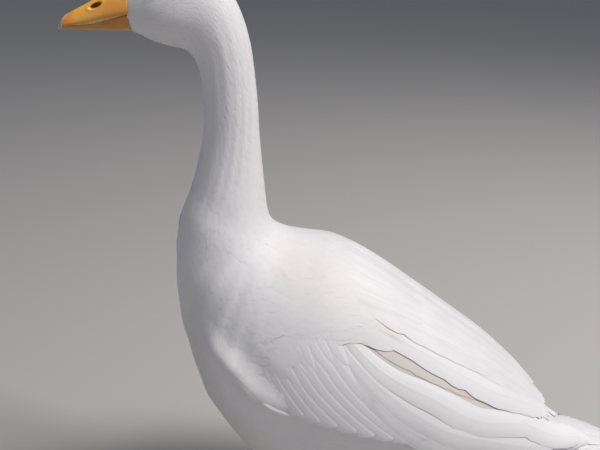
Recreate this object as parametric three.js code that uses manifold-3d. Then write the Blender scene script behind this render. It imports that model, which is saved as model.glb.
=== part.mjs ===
// Domestic goose, white, standing with its head raised: a still, life-size figure.
// Millimetres, +Z up. The bird faces -Y and its left side is +X. The floor is at Z = 0.
//
// One smooth body form runs from the tail to the bill. It is given by cross-sections, and the tail,
// trunk, neck and head are lengths of it. Wings, legs, bill and eyes are fitted to that same form.
import * as THREE from "three";
import { mergeVertices } from "three/addons/utils/BufferGeometryUtils.js";
import Module from "manifold-3d";

const wasm = await Module();
wasm.setup();

// ---------- driving dimensions ----------
const PARTING = 0.35; // gap between neighbouring pieces
const BODY_SIDES = 26; // facets round the body form
const SIDES = [
  { name: "left", x: 1 },
  { name: "right", x: -1 },
];

// Cross-sections of the body form, from the tail's end to the bill. Each one is the slice between a point on
// the back line and a point on the belly line, both [y, z]. half is half its width, widest says how far
// down from the back it is widest, and square is its roundness: 2 is an ellipse, more is boxier.
const SECTIONS = [
  { at: "tail end", back: [402, 143], belly: [400, 138], half: 58, widest: 0.5, square: 2.0 },
  { at: "tail", back: [352, 161], belly: [346, 146], half: 50, widest: 0.5, square: 2.0 },
  { at: "tail root", back: [304, 175], belly: [292, 139], half: 44, widest: 0.5, square: 2.0 },
  { at: "rump", back: [260, 214], belly: [240, 129], half: 56, widest: 0.5, square: 2.0 },
  { at: "vent", back: [219, 258], belly: [184, 116], half: 72, widest: 0.5, square: 2.1 },
  { at: "loin", back: [174, 298], belly: [126, 108], half: 88, widest: 0.52, square: 2.1 },
  { at: "back", back: [127, 337], belly: [70, 106], half: 97, widest: 0.54, square: 2.15 },
  { at: "mid back", back: [79, 372], belly: [18, 116], half: 101, widest: 0.54, square: 2.15 },
  { at: "shoulder", back: [40, 397], belly: [-30, 140], half: 102, widest: 0.54, square: 2.15 },
  { at: "fore back", back: [10, 404], belly: [-72, 184], half: 98, widest: 0.53, square: 2.1 },
  { at: "breast", back: [-8, 407], belly: [-103, 240], half: 92, widest: 0.52, square: 2.1 },
  { at: "upper breast", back: [-19, 411], belly: [-121, 300], half: 78, widest: 0.5, square: 2.05 },
  { at: "crop", back: [-28, 418], belly: [-129, 362], half: 61, widest: 0.5, square: 2.0 },
  { at: "neck base", back: [-34, 432], belly: [-124, 420], half: 47, widest: 0.5, square: 2.0 },
  { at: "lower neck", back: [-38, 462], belly: [-109, 463], half: 36, widest: 0.5, square: 2.0 },
  { at: "mid neck", back: [-42, 505], belly: [-98, 508], half: 28, widest: 0.5, square: 2.0 },
  { at: "upper neck", back: [-45, 552], belly: [-96, 546], half: 26, widest: 0.5, square: 2.0 },
  { at: "throat", back: [-52, 604], belly: [-100, 578], half: 26, widest: 0.5, square: 2.0 },
  { at: "nape", back: [-66, 641], belly: [-110, 592], half: 27, widest: 0.5, square: 2.0 },
  { at: "hind head", back: [-88, 664], belly: [-124, 596], half: 28, widest: 0.52, square: 2.1 },
  { at: "eye", back: [-117, 671], belly: [-140, 600], half: 27, widest: 0.55, square: 2.1 },
  { at: "forehead", back: [-143, 664], belly: [-153, 606], half: 22, widest: 0.55, square: 2.1 },
  { at: "bill root", back: [-161, 654], belly: [-161.4, 609], half: 17, widest: 0.55, square: 2.1 },
];
// Cross-sections of the hull of the two folded wings, in the same form, from the wing tips to the neck. Ahead
// of the shoulder the hull is the body form itself.
const WING_SECTIONS = [
  { at: "wing tip", back: [340, 184], belly: [332, 170], half: 36, widest: 0.5, square: 2.0 },
  { at: "primaries", back: [316, 199], belly: [294, 152], half: 52, widest: 0.5, square: 2.0 },
  { at: "tertial tips", back: [283, 220], belly: [252, 136], half: 68, widest: 0.5, square: 2.0 },
  { at: "wing over rump", back: [250, 252], belly: [210, 122], half: 85, widest: 0.5, square: 2.05 },
  { at: "wing over vent", back: [214, 284], belly: [166, 112], half: 98, widest: 0.51, square: 2.1 },
  { at: "wing over loin", back: [174, 313], belly: [118, 106], half: 111, widest: 0.52, square: 2.1 },
  { at: "wing over back", back: [129, 345], belly: [68, 104], half: 116, widest: 0.54, square: 2.15 },
  { at: "wing over mid back", back: [82, 377], belly: [17, 114], half: 119, widest: 0.54, square: 2.15 },
  { at: "wing over shoulder", back: [40, 399], belly: [-31, 138], half: 116, widest: 0.54, square: 2.15 },
  { at: "wing over fore back", back: [10, 404], belly: [-73, 183], half: 107, widest: 0.53, square: 2.1 },
];
const place = (name) => SECTIONS.findIndex((s) => s.at === name);

// The five sheets of each folded wing, from the lowest to the topmost. upper and lower are the two long edges
// from front to rear as [sections from the wing tip, degrees from the back line]. floor and skin are how far
// the two faces stand out from the hull. rests is how far down from the upper edge the sheet is filled to the
// trunk. lift is how far the lower edge stands off the sheet below. edge is the rim's share of the thickness.
const WING_SHEETS = [
  {
    name: "primaries", floor: -9.6, skin: -7, rise: 6, rests: 0, lift: 0, edge: 0.5, steps: [9, 3],
    upper: [[4.2, 64], [3.0, 61], [1.8, 58], [0.45, 50]],
    lower: [[4.8, 93], [3.2, 93], [1.9, 86], [0.35, 74]],
  },
  {
    name: "secondaries", floor: -7, skin: -2.6, rise: 0, rests: 0, lift: 0, edge: 0.6, steps: [8, 4],
    upper: [[9.1, 60], [8.0, 50], [7.0, 47], [6.2, 50]],
    lower: [[8.6, 91], [7.2, 88], [6.2, 84], [5.0, 85]],
  },
  {
    name: "tertials", floor: -2.4, skin: 0.6, rise: 0, rests: 0, lift: 0, edge: 0.5, steps: [10, 4],
    upper: [[7.6, 41], [6.3, 39], [4.5, 38], [2.1, 36]],
    lower: [[7.1, 54], [5.9, 62], [4.5, 77], [1.95, 86]],
  },
  {
    name: "coverts", floor: -2.2, skin: 3.6, rise: 0, rests: 0, lift: 0, edge: 0.75, steps: [8, 5],
    upper: [[10.7, 62], [9.8, 42], [8.8, 38], [7.75, 43]],
    lower: [[10.75, 99], [10.0, 101], [9.2, 99], [8.35, 93]],
  },
  {
    name: "scapulars", floor: 1, skin: 4, rise: 0, rests: 0.8, lift: 4, edge: 0.5, steps: [11, 5],
    upper: [[8.9, 6], [7.0, 2.2], [4.6, 2.4], [2.38, 8]],
    lower: [[8.7, 37], [7.2, 47], [4.6, 46], [2.15, 43]],
  },
];
const HULL_LIFT = -3; // the sheets' heights are counted from this far inside the hull

// Bill, from the feathers at its root to its tip. y, then the heights of the ridge, the mouth line and the
// underside, then half the width of the upper and of the lower mandible.
const BILL = [
  { y: -162.2, ridge: 653, mouth: 625, under: 609.5, upper: 17.5, lower: 15.5 },
  { y: -176.0, ridge: 646, mouth: 621.5, under: 609, upper: 15.8, lower: 13.8 },
  { y: -190.0, ridge: 639, mouth: 618, under: 609, upper: 14.0, lower: 12.2 },
  { y: -204.0, ridge: 631.5, mouth: 615.5, under: 609, upper: 12.6, lower: 10.8 },
  { y: -216.0, ridge: 625.5, mouth: 614, under: 609.5, upper: 11.2, lower: 9.0 },
  { y: -224.0, ridge: 620.5, mouth: 612.5, under: 609.5, upper: 8.8, lower: 6.4 },
  { y: -229.5, ridge: 613.5, mouth: 610, under: 609.6, upper: 4.0, lower: 3.0 },
];
const NAIL_ROOT = 0.76; // share of the bill's length behind the nail
const EYE = { x: 19.4, y: -130, z: 648, radius: 7.6 };

// Left leg. Its joints are [x, y, z], toes turn outwards in degrees, and the rest are lengths.
const LEG = {
  hip: [64, 60, 172],
  ankle: [57, 112, 106],
  foot: [55, 90, 9],
  thigh: 45,
  shank: 7.3,
  knob: 9.6,
  sole: 2.2,
  scallop: 13,
};
const TOES = [
  { name: "inner", turn: -23, long: 72, half: 4.8 },
  { name: "middle", turn: 4, long: 92, half: 5.4 },
  { name: "outer", turn: 30, long: 84, half: 4.8 },
  { name: "hind", turn: 172, long: 22, half: 3.2 },
];
const CLAW_LENGTH = { inner: 9, middle: 11, outer: 9, hind: 6 };

// ---------- shaping helpers ----------
const spline = (points) => new THREE.CatmullRomCurve3(points, false, "catmullrom", 0.5);
const bend = (v, power) => Math.sign(v) * Math.abs(v) ** power;
const smooth = (v, from, to) => THREE.MathUtils.smoothstep(v, from, to);
const mix = THREE.MathUtils.lerp;

// A form through cross-sections. The returned function gives a point of it: at counts sections from the first
// one, around is the angle from the back line towards the bird's left, grow moves the surface outwards.
function form(sections) {
  const backs = spline(sections.map((s) => new THREE.Vector3(s.half, ...s.back)));
  const bellies = spline(sections.map((s) => new THREE.Vector3(s.widest, ...s.belly)));
  const powers = spline(sections.map((s) => new THREE.Vector3(2 / s.square, 0, 0)));
  return (at, around, grow = 0) => {
    const t = THREE.MathUtils.clamp(at / (sections.length - 1), 0, 1);
    const back = backs.getPoint(t);
    const belly = bellies.getPoint(t);
    const power = powers.getPoint(t).x;
    const rise = new THREE.Vector3(0, back.y - belly.y, back.z - belly.z);
    const depth = rise.length();
    const up = Math.cos(around);
    const reach = (up > 0 ? belly.x : 1 - belly.x) * depth + grow;
    return new THREE.Vector3(0, back.y, back.z)
      .addScaledVector(rise.normalize(), bend(up, power) * reach - belly.x * depth)
      .setX(bend(Math.sin(around), power) * (back.x + grow));
  };
}
const LAST = SECTIONS.length - 1;
const bodyPoint = form(SECTIONS);
const hullPoint = form([...WING_SECTIONS, ...SECTIONS.slice(WING_SECTIONS.length)]);

function merged(geometry) {
  geometry.deleteAttribute("normal");
  geometry.deleteAttribute("uv");
  return mergeVertices(geometry, 1e-3);
}

// Turns a closed geometry's faces outwards if a mapping has turned them in.
function facingOut(geometry) {
  const p = geometry.attributes.position;
  const index = geometry.index.array;
  const corner = (k) => new THREE.Vector3().fromBufferAttribute(p, index[k]);
  let volume = 0;
  for (let i = 0; i < index.length; i += 3)
    volume += corner(i).dot(corner(i + 1).cross(corner(i + 2)));
  if (volume < 0)
    for (let i = 0; i < index.length; i += 3)
      [index[i + 1], index[i + 2]] = [index[i + 2], index[i + 1]];
  return geometry;
}

// Moves every vertex of a closed geometry to where map(x, y, z) says.
function mapped(geometry, map) {
  const closed = merged(geometry);
  const p = closed.attributes.position;
  for (let i = 0; i < p.count; i++) {
    const v = map(p.getX(i), p.getY(i), p.getZ(i));
    p.setXYZ(i, v.x, v.y, v.z);
  }
  return facingOut(closed);
}

// A closed tube whose rings are ring(along, around), with flat ends. along runs from 0 to 1.
function tube(rings, sides, ring) {
  return mapped(new THREE.CylinderGeometry(1, 1, 1, sides, rings), (x, y, z) => {
    const along = y + 0.5;
    if (Math.hypot(x, z) > 0.5) return ring(along, Math.atan2(x, z));
    return ring(along, 0).add(ring(along, Math.PI)).multiplyScalar(0.5);
  });
}

// A closed sheet whose points are sheet(s, w, depth), each from 0 to 1.
function slab([lengths, widths], sheet) {
  return mapped(new THREE.BoxGeometry(1, 1, 1, lengths, widths, 1), (x, y, z) =>
    sheet(x + 0.5, y + 0.5, z + 0.5),
  );
}

const flipped = (geometry) =>
  mapped(geometry.clone(), (x, y, z) => new THREE.Vector3(-x, y, z));

function solidOf(geometry) {
  const g = merged(geometry.clone());
  const vertProperties = new Float32Array(g.attributes.position.array);
  const triVerts = new Uint32Array(g.index.array);
  return new wasm.Manifold(new wasm.Mesh({ numProp: 3, vertProperties, triVerts }));
}

function geometryOf(solid) {
  const mesh = solid.getMesh();
  return new THREE.BufferGeometry()
    .setAttribute("position", new THREE.BufferAttribute(new Float32Array(mesh.vertProperties), 3))
    .setIndex(new THREE.BufferAttribute(new Uint32Array(mesh.triVerts), 1));
}

const bodyLength = (from, to, rings, grow = 0, sides = BODY_SIDES) =>
  tube(rings, sides, (along, around) => bodyPoint(from + (to - from) * along, around, grow));

const goose = new THREE.Group();
function add(name, geometry, material) {
  const mesh = new THREE.Mesh(geometry, material);
  mesh.name = name;
  goose.add(mesh);
}
const finish = (color, roughness) =>
  new THREE.MeshStandardMaterial({ color, roughness, metalness: 0 });
const PLUMAGE = finish(0xf2f0ea, 0.75);
const QUILLS = finish(0xe9e7e4, 0.6);
const HORN = finish(0xdc8a35, 0.45);
const NAIL = finish(0xcfc3ae, 0.4);
const LEATHER = finish(0xd9782c, 0.55);
const CLAW = finish(0x8f7a66, 0.45);
const EYEBALL = finish(0x161a22, 0.08);

// ---------- tail, trunk, neck and head ----------
const NECK_JOINT = place("neck base") - 0.4;
const PART_SECTIONS = 0.012; // the parting, counted in sections
const trunk = bodyLength(place("tail root") + PART_SECTIONS, NECK_JOINT, 20);
add("trunk", trunk, PLUMAGE);
add("neck_lower", bodyLength(NECK_JOINT + PART_SECTIONS, place("mid neck"), 5), PLUMAGE);
add("neck_upper", bodyLength(place("mid neck") + PART_SECTIONS, place("nape") - 0.5, 6), PLUMAGE);

// The tail's end is rounded like a fan and its sides hang a little.
const FAN_DEPTH = 26;
const FAN_DROOP = 13; // how far its sides hang below its middle
const tail = tube(7, 20, (along, around) => {
  const at = place("tail root") * (1 - along);
  const p = bodyPoint(at, around);
  const spread = p.x / SECTIONS[0].half;
  p.y -= FAN_DEPTH * along ** 2 * spread ** 2;
  p.z -= FAN_DROOP * along * spread ** 2;
  return p;
});
add("tail", tail, QUILLS);

const headLength = bodyLength(place("nape") - 0.5 + PART_SECTIONS, LAST, 10);
const eyeSphere = (side, grow) => {
  const sphere = new THREE.SphereGeometry(EYE.radius + grow, 12, 8);
  sphere.rotateZ(Math.PI / 2);
  return merged(sphere.translate(side * EYE.x, EYE.y, EYE.z));
};
const sockets = SIDES.map(({ x }) => solidOf(eyeSphere(x, PARTING)));
add("head", geometryOf(solidOf(headLength).subtract(sockets[0]).subtract(sockets[1])), PLUMAGE);
for (const { name, x } of SIDES) add(`eye_${name}`, eyeSphere(x, 0), EYEBALL);

// ---------- bill ----------
const bows = spline(BILL.map((s) => new THREE.Vector3(s.ridge, s.mouth, s.under)));
const plan = spline(BILL.map((s) => new THREE.Vector3(s.y, s.upper, s.lower)));

// The upper mandible is an arch over a flat mouth.
function upperPoint(t, around) {
  const bow = bows.getPoint(t);
  const line = plan.getPoint(t);
  const up = Math.cos(around);
  const width = line.y * bend(Math.sin(around), up > 0 ? 0.85 : 1);
  return new THREE.Vector3(width, line.x, mix(bow.y, bow.x, up > 0 ? up ** 0.9 : 0));
}

// The lower mandible is a shallow trough that closes below the mouth line.
function lowerPoint(t, around) {
  const bow = bows.getPoint(t);
  const line = plan.getPoint(t);
  const down = -Math.cos(around);
  const roof = bow.y - PARTING;
  return new THREE.Vector3(
    line.z * bend(Math.sin(around), 0.85),
    line.x,
    mix(roof, Math.min(bow.z, roof - 0.6), down > 0 ? down ** 0.8 : 0),
  );
}
const nostril = new THREE.SphereGeometry(1, 12, 8).scale(2.2, 6.2, 1.9).rotateX(0.4);
const upperMandible = SIDES.reduce(
  (solid, { x }) => solid.subtract(solidOf(nostril.clone().translate(x * 14, -191, 631.5))),
  solidOf(tube(8, 14, (along, around) => upperPoint(NAIL_ROOT * along, around))),
);
const NAIL_START = NAIL_ROOT + 0.006;
add("bill_upper", geometryOf(upperMandible), HORN);
add("bill_nail", tube(5, 14, (along, around) => upperPoint(mix(NAIL_START, 1, along), around)), NAIL);
add("bill_lower", tube(8, 12, (along, around) => lowerPoint(0.97 * along, around)), HORN);

// ---------- wings ----------
const trunkRoom = solidOf(bodyLength(place("tail root") - 0.6, NECK_JOINT + 0.5, 22, PARTING));
const edge = (points) => spline(points.map(([at, degrees]) => new THREE.Vector3(at, degrees, 0)));

function wingSheet({ upper, lower, floor, skin, rise, rests, lift, edge: rim, steps }) {
  const upperEdge = edge(upper);
  const lowerEdge = edge(lower);
  return slab(steps, (s, w, depth) => {
    const spot = upperEdge.getPoint(s).lerp(lowerEdge.getPoint(s), w);
    const thin = rim + (1 - rim) * (1 - (2 * w - 1) ** 4) * (1 - (2 * s - 1) ** 6);
    const raise = rise * smooth(s, 0.45, 0.9) + lift * smooth(w, 0.55, 1) * Math.sin(Math.PI * s) ** 0.5;
    const base = mix(-12, floor, rests ? smooth(w, rests - 0.25, rests) : 1);
    const under = base + (rests ? raise * smooth(w, rests - 0.25, rests) : raise);
    const over = floor + raise + (skin - floor) * thin;
    return hullPoint(spot.x, THREE.MathUtils.degToRad(spot.y), HULL_LIFT + mix(under, over, depth));
  });
}
for (const sheet of WING_SHEETS) {
  const left = solidOf(wingSheet(sheet)).subtract(trunkRoom);
  const largest = left.decompose().sort((a, b) => b.volume() - a.volume())[0].simplify(0.12);
  add(`${sheet.name}_left`, geometryOf(largest), QUILLS);
  add(`${sheet.name}_right`, flipped(geometryOf(largest)), QUILLS);
}

// ---------- legs ----------
const point = (p) => new THREE.Vector3(...p);
const SIDEWAYS = new THREE.Vector3(1, 0, 0);

// A limb between two joints, seen as rings square to it. size(along) gives half its width and half its depth.
function limb(from, to, rings, sides, size) {
  const axis = to.clone().sub(from).normalize();
  const deep = axis.clone().cross(SIDEWAYS).normalize();
  return tube(rings, sides, (along, around) => {
    const [wide, depth] = size(along);
    return from
      .clone()
      .lerp(to, along)
      .addScaledVector(SIDEWAYS, wide * Math.sin(around))
      .addScaledVector(deep, depth * Math.cos(around));
  });
}

// Direction on the floor, turned outwards from straight ahead.
const heading = (degrees) => {
  const a = THREE.MathUtils.degToRad(degrees);
  return new THREE.Vector3(Math.sin(a), -Math.cos(a), 0);
};
const hip = point(LEG.hip);
const ankle = point(LEG.ankle);
const ball = point(LEG.foot);
const SHANK_SHARE = 0.88; // share of the way from ankle to ball that is shank

const drumstick = limb(hip, ankle.clone().lerp(hip, 0.115), 8, 16, (along) => {
  const taper = mix(LEG.thigh, LEG.knob + 3, smooth(along, 0.1, 1));
  return [taper * 0.82, taper];
});
const thigh = solidOf(drumstick).subtract(trunkRoom).simplify(0.06);

const shankSize = (along) => {
  const knee = (LEG.knob - LEG.shank) * (1 - smooth(along, 0, 0.22));
  const heel = 1.6 * smooth(along, 0.78, 1);
  return [LEG.shank * 0.86 + knee * 0.7 + heel, LEG.shank + knee + heel];
};
const shankEnd = ankle.clone().lerp(ball, SHANK_SHARE);
const shankRod = limb(ankle, shankEnd, 5, 10, (along) => shankSize(along * SHANK_SHARE));
const knob = new THREE.SphereGeometry(LEG.knob, 10, 6).scale(0.84, 1, 1).translate(...LEG.ankle);
const shank = solidOf(shankRod).add(solidOf(knob)).simplify(0.12);

// A toe lies flat on the floor and swells a little at its three joints.
function toeTube({ turn, long, half }) {
  const along3 = heading(turn);
  const across = new THREE.Vector3(-along3.y, along3.x, 0);
  return tube(6, 6, (along, around) => {
    const swell = 1 + 0.14 * Math.cos(6 * Math.PI * along);
    const wide = half * swell * mix(1.15, 0.62, along);
    const tall = wide * 1.5 * mix(1.25, 0.85, along);
    return ball
      .clone()
      .setZ(Math.max(0, tall * (0.42 + 0.58 * Math.cos(around))))
      .addScaledVector(along3, long * along)
      .addScaledVector(across, wide * Math.sin(around));
  });
}

// The web spans the three front toes and its edge is drawn back between them.
const front = TOES.filter((toe) => toe.name !== "hind");
const web = slab([10, 2], (s, w, depth) => {
  const i = Math.min(1, Math.floor(s * 2));
  const f = s * 2 - i;
  const reach = mix(front[i].long, front[i + 1].long, f) - 5 - LEG.scallop * Math.sin(Math.PI * f);
  const turn = mix(front[i].turn, front[i + 1].turn, f);
  return ball.clone().setZ(depth * LEG.sole).addScaledVector(heading(turn), mix(4, reach, w));
});
const stub = limb(ankle.clone().lerp(ball, SHANK_SHARE + 0.005), ball, 2, 10, (along) =>
  shankSize(mix(SHANK_SHARE + 0.005, 1, along)),
);
const joint = mapped(new THREE.SphereGeometry(1, 10, 6), (x, y, z) =>
  new THREE.Vector3(x * 8.2, y * 9.4, Math.max(-LEG.foot[2], z * 9.5)).add(ball),
);
const foot = TOES.map((toe) => solidOf(toeTube(toe)))
  .reduce((whole, toe) => whole.add(toe), solidOf(web))
  .add(solidOf(stub))
  .add(solidOf(joint))
  .simplify(0.12);

// Claws curve down from the toe ends and stop clear of the floor.
function claw({ name, turn, long, half }) {
  const root = ball.clone().addScaledVector(heading(turn), long + PARTING);
  const ahead = heading(turn);
  const across = new THREE.Vector3(-ahead.y, ahead.x, 0);
  const length = CLAW_LENGTH[name];
  const thick = half * 0.5;
  return tube(3, 6, (along, around) => {
    const radius = mix(thick, 0.5, along ** 1.3);
    return root
      .clone()
      .setZ(0.6 + thick + 0.8 * Math.sin(Math.PI * along) - (thick - 0.5) * along + radius * Math.cos(around))
      .addScaledVector(ahead, length * along)
      .addScaledVector(across, radius * 0.9 * Math.sin(around));
  });
}
for (const { name, x } of SIDES) {
  const turned = (geometry) => (x > 0 ? geometry : flipped(geometry));
  add(`thigh_${name}`, turned(geometryOf(thigh)), PLUMAGE);
  add(`shank_${name}`, turned(geometryOf(shank)), LEATHER);
  add(`foot_${name}`, turned(geometryOf(foot)), LEATHER);
  for (const toe of TOES) add(`claw_${toe.name}_${name}`, turned(claw(toe)), CLAW);
}

// The part's origin is the middle of its floor rectangle.
const bounds = new THREE.Box3().setFromObject(goose);
goose.children.forEach((mesh) =>
  mesh.geometry.translate(0, -(bounds.min.y + bounds.max.y) / 2, -bounds.min.z),
);

export default goose;
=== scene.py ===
"""White domestic goose, standing with its neck raised: a still, life-size display figure."""

import bpy
import numpy as np
from mathutils import Matrix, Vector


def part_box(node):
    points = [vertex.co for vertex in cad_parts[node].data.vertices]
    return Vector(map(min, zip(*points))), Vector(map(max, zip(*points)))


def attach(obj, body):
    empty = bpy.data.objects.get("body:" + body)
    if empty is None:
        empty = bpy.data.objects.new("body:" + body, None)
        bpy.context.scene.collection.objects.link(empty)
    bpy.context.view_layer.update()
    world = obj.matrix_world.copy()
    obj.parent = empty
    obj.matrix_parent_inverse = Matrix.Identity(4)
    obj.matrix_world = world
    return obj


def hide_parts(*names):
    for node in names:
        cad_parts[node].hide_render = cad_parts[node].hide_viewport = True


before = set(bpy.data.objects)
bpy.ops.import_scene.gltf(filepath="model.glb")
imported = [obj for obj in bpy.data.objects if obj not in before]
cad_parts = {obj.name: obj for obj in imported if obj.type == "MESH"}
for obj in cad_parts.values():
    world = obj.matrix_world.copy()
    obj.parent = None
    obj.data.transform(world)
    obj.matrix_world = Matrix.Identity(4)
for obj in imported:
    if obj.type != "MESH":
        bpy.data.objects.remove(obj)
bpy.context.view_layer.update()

# ------------------------ camera
# The viewer stands at the bird's left side, a short arm's length away, and looks down on its back.
# The bird's own frame has its origin on the floor under the shoulder. STAND is where that falls here.
STAND = np.array([0.0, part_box("bill_nail")[0].y + 0.2295, 0.0])
EYE_POINT = STAND + np.array([0.66, 0.0, 0.68])
TILT_DOWN = np.radians(21.7)
ROLL = np.radians(1.4)
LENS_PIXELS = 683.0
FRAME_PIXELS = 600.0


def put_in_scene(thing, right, up, back, place):
    """Links an object at a place in metres, turned so that its own axes point right, up and back."""
    pose = np.eye(4)
    pose[:3] = np.column_stack([right, up, back, place])
    thing.matrix_world = Matrix(pose.tolist())
    bpy.context.scene.collection.objects.link(thing)


camera = bpy.data.objects.new("camera", bpy.data.cameras.new("camera"))
camera.data.sensor_width = 36.0
camera.data.lens = camera.data.sensor_width * LENS_PIXELS / FRAME_PIXELS
camera.data.clip_start = 0.01
view_ahead = np.array([-np.cos(TILT_DOWN), 0.0, -np.sin(TILT_DOWN)])
view_right = np.array([0.0, 1.0, 0.0])
view_up = np.cross(view_right, view_ahead)
rolled_right = view_right * np.cos(ROLL) + view_up * np.sin(ROLL)
rolled_up = view_up * np.cos(ROLL) - view_right * np.sin(ROLL)
put_in_scene(camera, rolled_right, rolled_up, -view_ahead, EYE_POINT)
bpy.context.scene.camera = camera

# ------------------------ floor and lamps
# A pale studio floor that runs out to the horizon, a large soft lamp high behind the tail, which lights the
# back and the neck's rear side, and a cooler, weaker one in front.
FLOOR_REACH = 30.0
floor_corners = [(x * FLOOR_REACH, y * FLOOR_REACH, 0.0) for x, y in ((-1, -1), (1, -1), (1, 1), (-1, 1))]
floor_mesh = bpy.data.meshes.new("floor")
floor_mesh.from_pydata(floor_corners, [], [(0, 1, 2, 3)])
studio_floor = bpy.data.objects.new("studio_floor", floor_mesh)
bpy.context.scene.collection.objects.link(studio_floor)


def feed(node, inputs):
    """Sets each input of a shader node, by name or number, to a value or to another node's output."""
    for key, value in inputs.items():
        if isinstance(value, bpy.types.NodeSocket):
            node.id_data.links.new(value, node.inputs[key])
        else:
            node.inputs[key].default_value = value


def new_finish(name, inputs):
    """A new node material and its Principled shader, whose inputs are set."""
    material = bpy.data.materials.new(name)
    material.use_nodes = True
    shader = material.node_tree.nodes["Principled BSDF"]
    feed(shader, inputs)
    return material, shader


floor_finish, _ = new_finish("studio_floor", {"Base Color": (0.50, 0.48, 0.455, 1), "Roughness": 0.9})
floor_mesh.materials.append(floor_finish)


def unit(vector):
    """The vector, or each of an array of them, at length one."""
    return vector / np.linalg.norm(vector, axis=-1, keepdims=True)


def soft_lamp(name, place, aim, size, power, colour):
    """A square area lamp at place that faces aim, both in metres."""
    lamp = bpy.data.objects.new(name, bpy.data.lights.new(name, "AREA"))
    lamp.data.size = size
    lamp.data.energy = power
    lamp.data.color = colour
    away = unit(np.subtract(place, aim))
    side = unit(np.cross([0.0, 0.0, 1.0], away))
    put_in_scene(lamp, side, np.cross(away, side), away, place)


soft_lamp("key_lamp", (0.55, 1.6, 3.1), (0, 0, 0.3), 1.1, 104, (1.0, 0.97, 0.95))
soft_lamp("front_lamp", (2.2, -1.6, 1.6), (0, 0, 0.35), 2.2, 6, (0.82, 0.89, 1.0))
world = bpy.data.worlds.new("studio")
bpy.context.scene.world = world
world.use_nodes = True
feed(world.node_tree.nodes["Background"], {"Color": (0.80, 0.86, 1.0, 1), "Strength": 0.23})
bpy.context.scene.view_settings.view_transform = "Standard"

# ------------------------ skin
# The bare bird under its feathers: one closed skin of trunk, neck, head and tail root, with the two
# drumsticks grown into it. The feathered outline is worked out first and the skin lies inside it.
MM = 0.001
# y and z of the back line, y and z of the belly line, half the width, how far down it is widest, and
# roundness (2 is an ellipse), from the tail's end to the bill, in millimetres.
BODY = [
    (402, 143, 400, 138, 58, 0.50, 2.00),
    (352, 161, 346, 146, 50, 0.50, 2.00),
    (304, 175, 292, 139, 44, 0.50, 2.00),
    (260, 214, 240, 129, 56, 0.50, 2.00),
    (219, 258, 184, 116, 72, 0.50, 2.10),
    (174, 298, 126, 108, 88, 0.52, 2.10),
    (127, 337, 70, 106, 97, 0.54, 2.15),
    (79, 372, 18, 116, 101, 0.54, 2.15),
    (40, 397, -30, 140, 102, 0.54, 2.15),
    (10, 404, -72, 184, 98, 0.53, 2.10),
    (-8, 407, -103, 240, 92, 0.52, 2.10),
    (-19, 411, -121, 300, 78, 0.50, 2.05),
    (-28, 418, -129, 362, 61, 0.50, 2.00),
    (-34, 432, -124, 420, 47, 0.50, 2.00),
    (-38, 462, -109, 463, 36, 0.50, 2.00),
    (-42, 505, -98, 508, 28, 0.50, 2.00),
    (-45, 552, -96, 546, 26, 0.50, 2.00),
    (-52, 604, -100, 578, 26, 0.50, 2.00),
    (-66, 641, -110, 592, 27, 0.50, 2.00),
    (-88, 664, -124, 596, 28, 0.52, 2.10),
    (-117, 671, -140, 600, 27, 0.55, 2.10),
    (-143, 664, -153, 606, 22, 0.55, 2.10),
    (-161, 654, -161.4, 609, 17, 0.55, 2.10),
]
TAIL_ROOT, AT_BILL = 2, 22
# The hull of the two folded wings, in the same form, from their tips. Ahead of it the hull is the body.
WINGS = [
    (340, 184, 332, 170, 36, 0.50, 2.00),
    (316, 199, 294, 152, 52, 0.50, 2.00),
    (283, 220, 252, 136, 68, 0.50, 2.00),
    (250, 252, 210, 122, 85, 0.50, 2.05),
    (214, 284, 166, 112, 98, 0.51, 2.10),
    (174, 313, 118, 106, 111, 0.52, 2.10),
    (129, 345, 68, 104, 116, 0.54, 2.15),
    (82, 377, 17, 114, 119, 0.54, 2.15),
    (40, 399, -31, 138, 116, 0.54, 2.15),
    (10, 404, -73, 183, 107, 0.53, 2.10),
]
HULL = WINGS + BODY[len(WINGS):]


def through_rows(table, at):
    """Values between a table's rows, at counting rows: cubics whose slope at a row is half the step between
    its two neighbours."""
    rows = np.asarray(table, float)
    rows = np.vstack([2 * rows[0] - rows[1], rows, 2 * rows[-1] - rows[-2]])
    at = np.clip(np.asarray(at, float), 0, len(table) - 1)
    first = np.minimum(at.astype(int), len(table) - 2)
    f = (at - first)[..., None]
    before, start, end, after = (rows[first + k] for k in range(4))
    bow = 2 * before - 5 * start + 4 * end - after + f * (3 * (start - end) + after - before)
    return start + 0.5 * f * (end - before + f * bow)


def signed_power(value, power):
    """value raised to power, with its sign kept."""
    return np.sign(value) * np.abs(value) ** power


def ease(value, start, end):
    """0 before start, 1 after end, and a smooth S between."""
    f = np.clip((value - start) / (end - start), 0, 1)
    return f * f * (3 - 2 * f)


def spots(at, around, *marks):
    """Soft spots, the same on both sides. Each is its strength, its section and angle, and its reach in
    both, over which it fades as a bell curve."""
    aside = np.abs(around)
    return sum(s * np.exp(-(((at - m) / r) ** 2) - ((aside - a) / w) ** 2) for s, m, a, r, w in marks)


def sectioned(table, at, around, out):
    """Point of a form given by cross-sections, in metres. at counts sections, around is the angle from the
    back line towards the bird's left, out is how far it stands off the form, in millimetres."""
    back_y, back_z, belly_y, belly_z, half, widest, square = np.moveaxis(through_rows(table, at), -1, 0)
    rise_y, rise_z = back_y - belly_y, back_z - belly_z
    depth = np.hypot(rise_y, rise_z)
    up = np.cos(around)
    part = np.where(up > 0, widest, 1 - widest)
    drop = signed_power(up, 2 / square) * (part * depth + out) - widest * depth
    x = signed_power(np.sin(around), 2 / square) * (half + out)
    point = np.stack([x, back_y + rise_y / depth * drop, back_z + rise_z / depth * drop], -1)
    return point * MM + STAND


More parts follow.
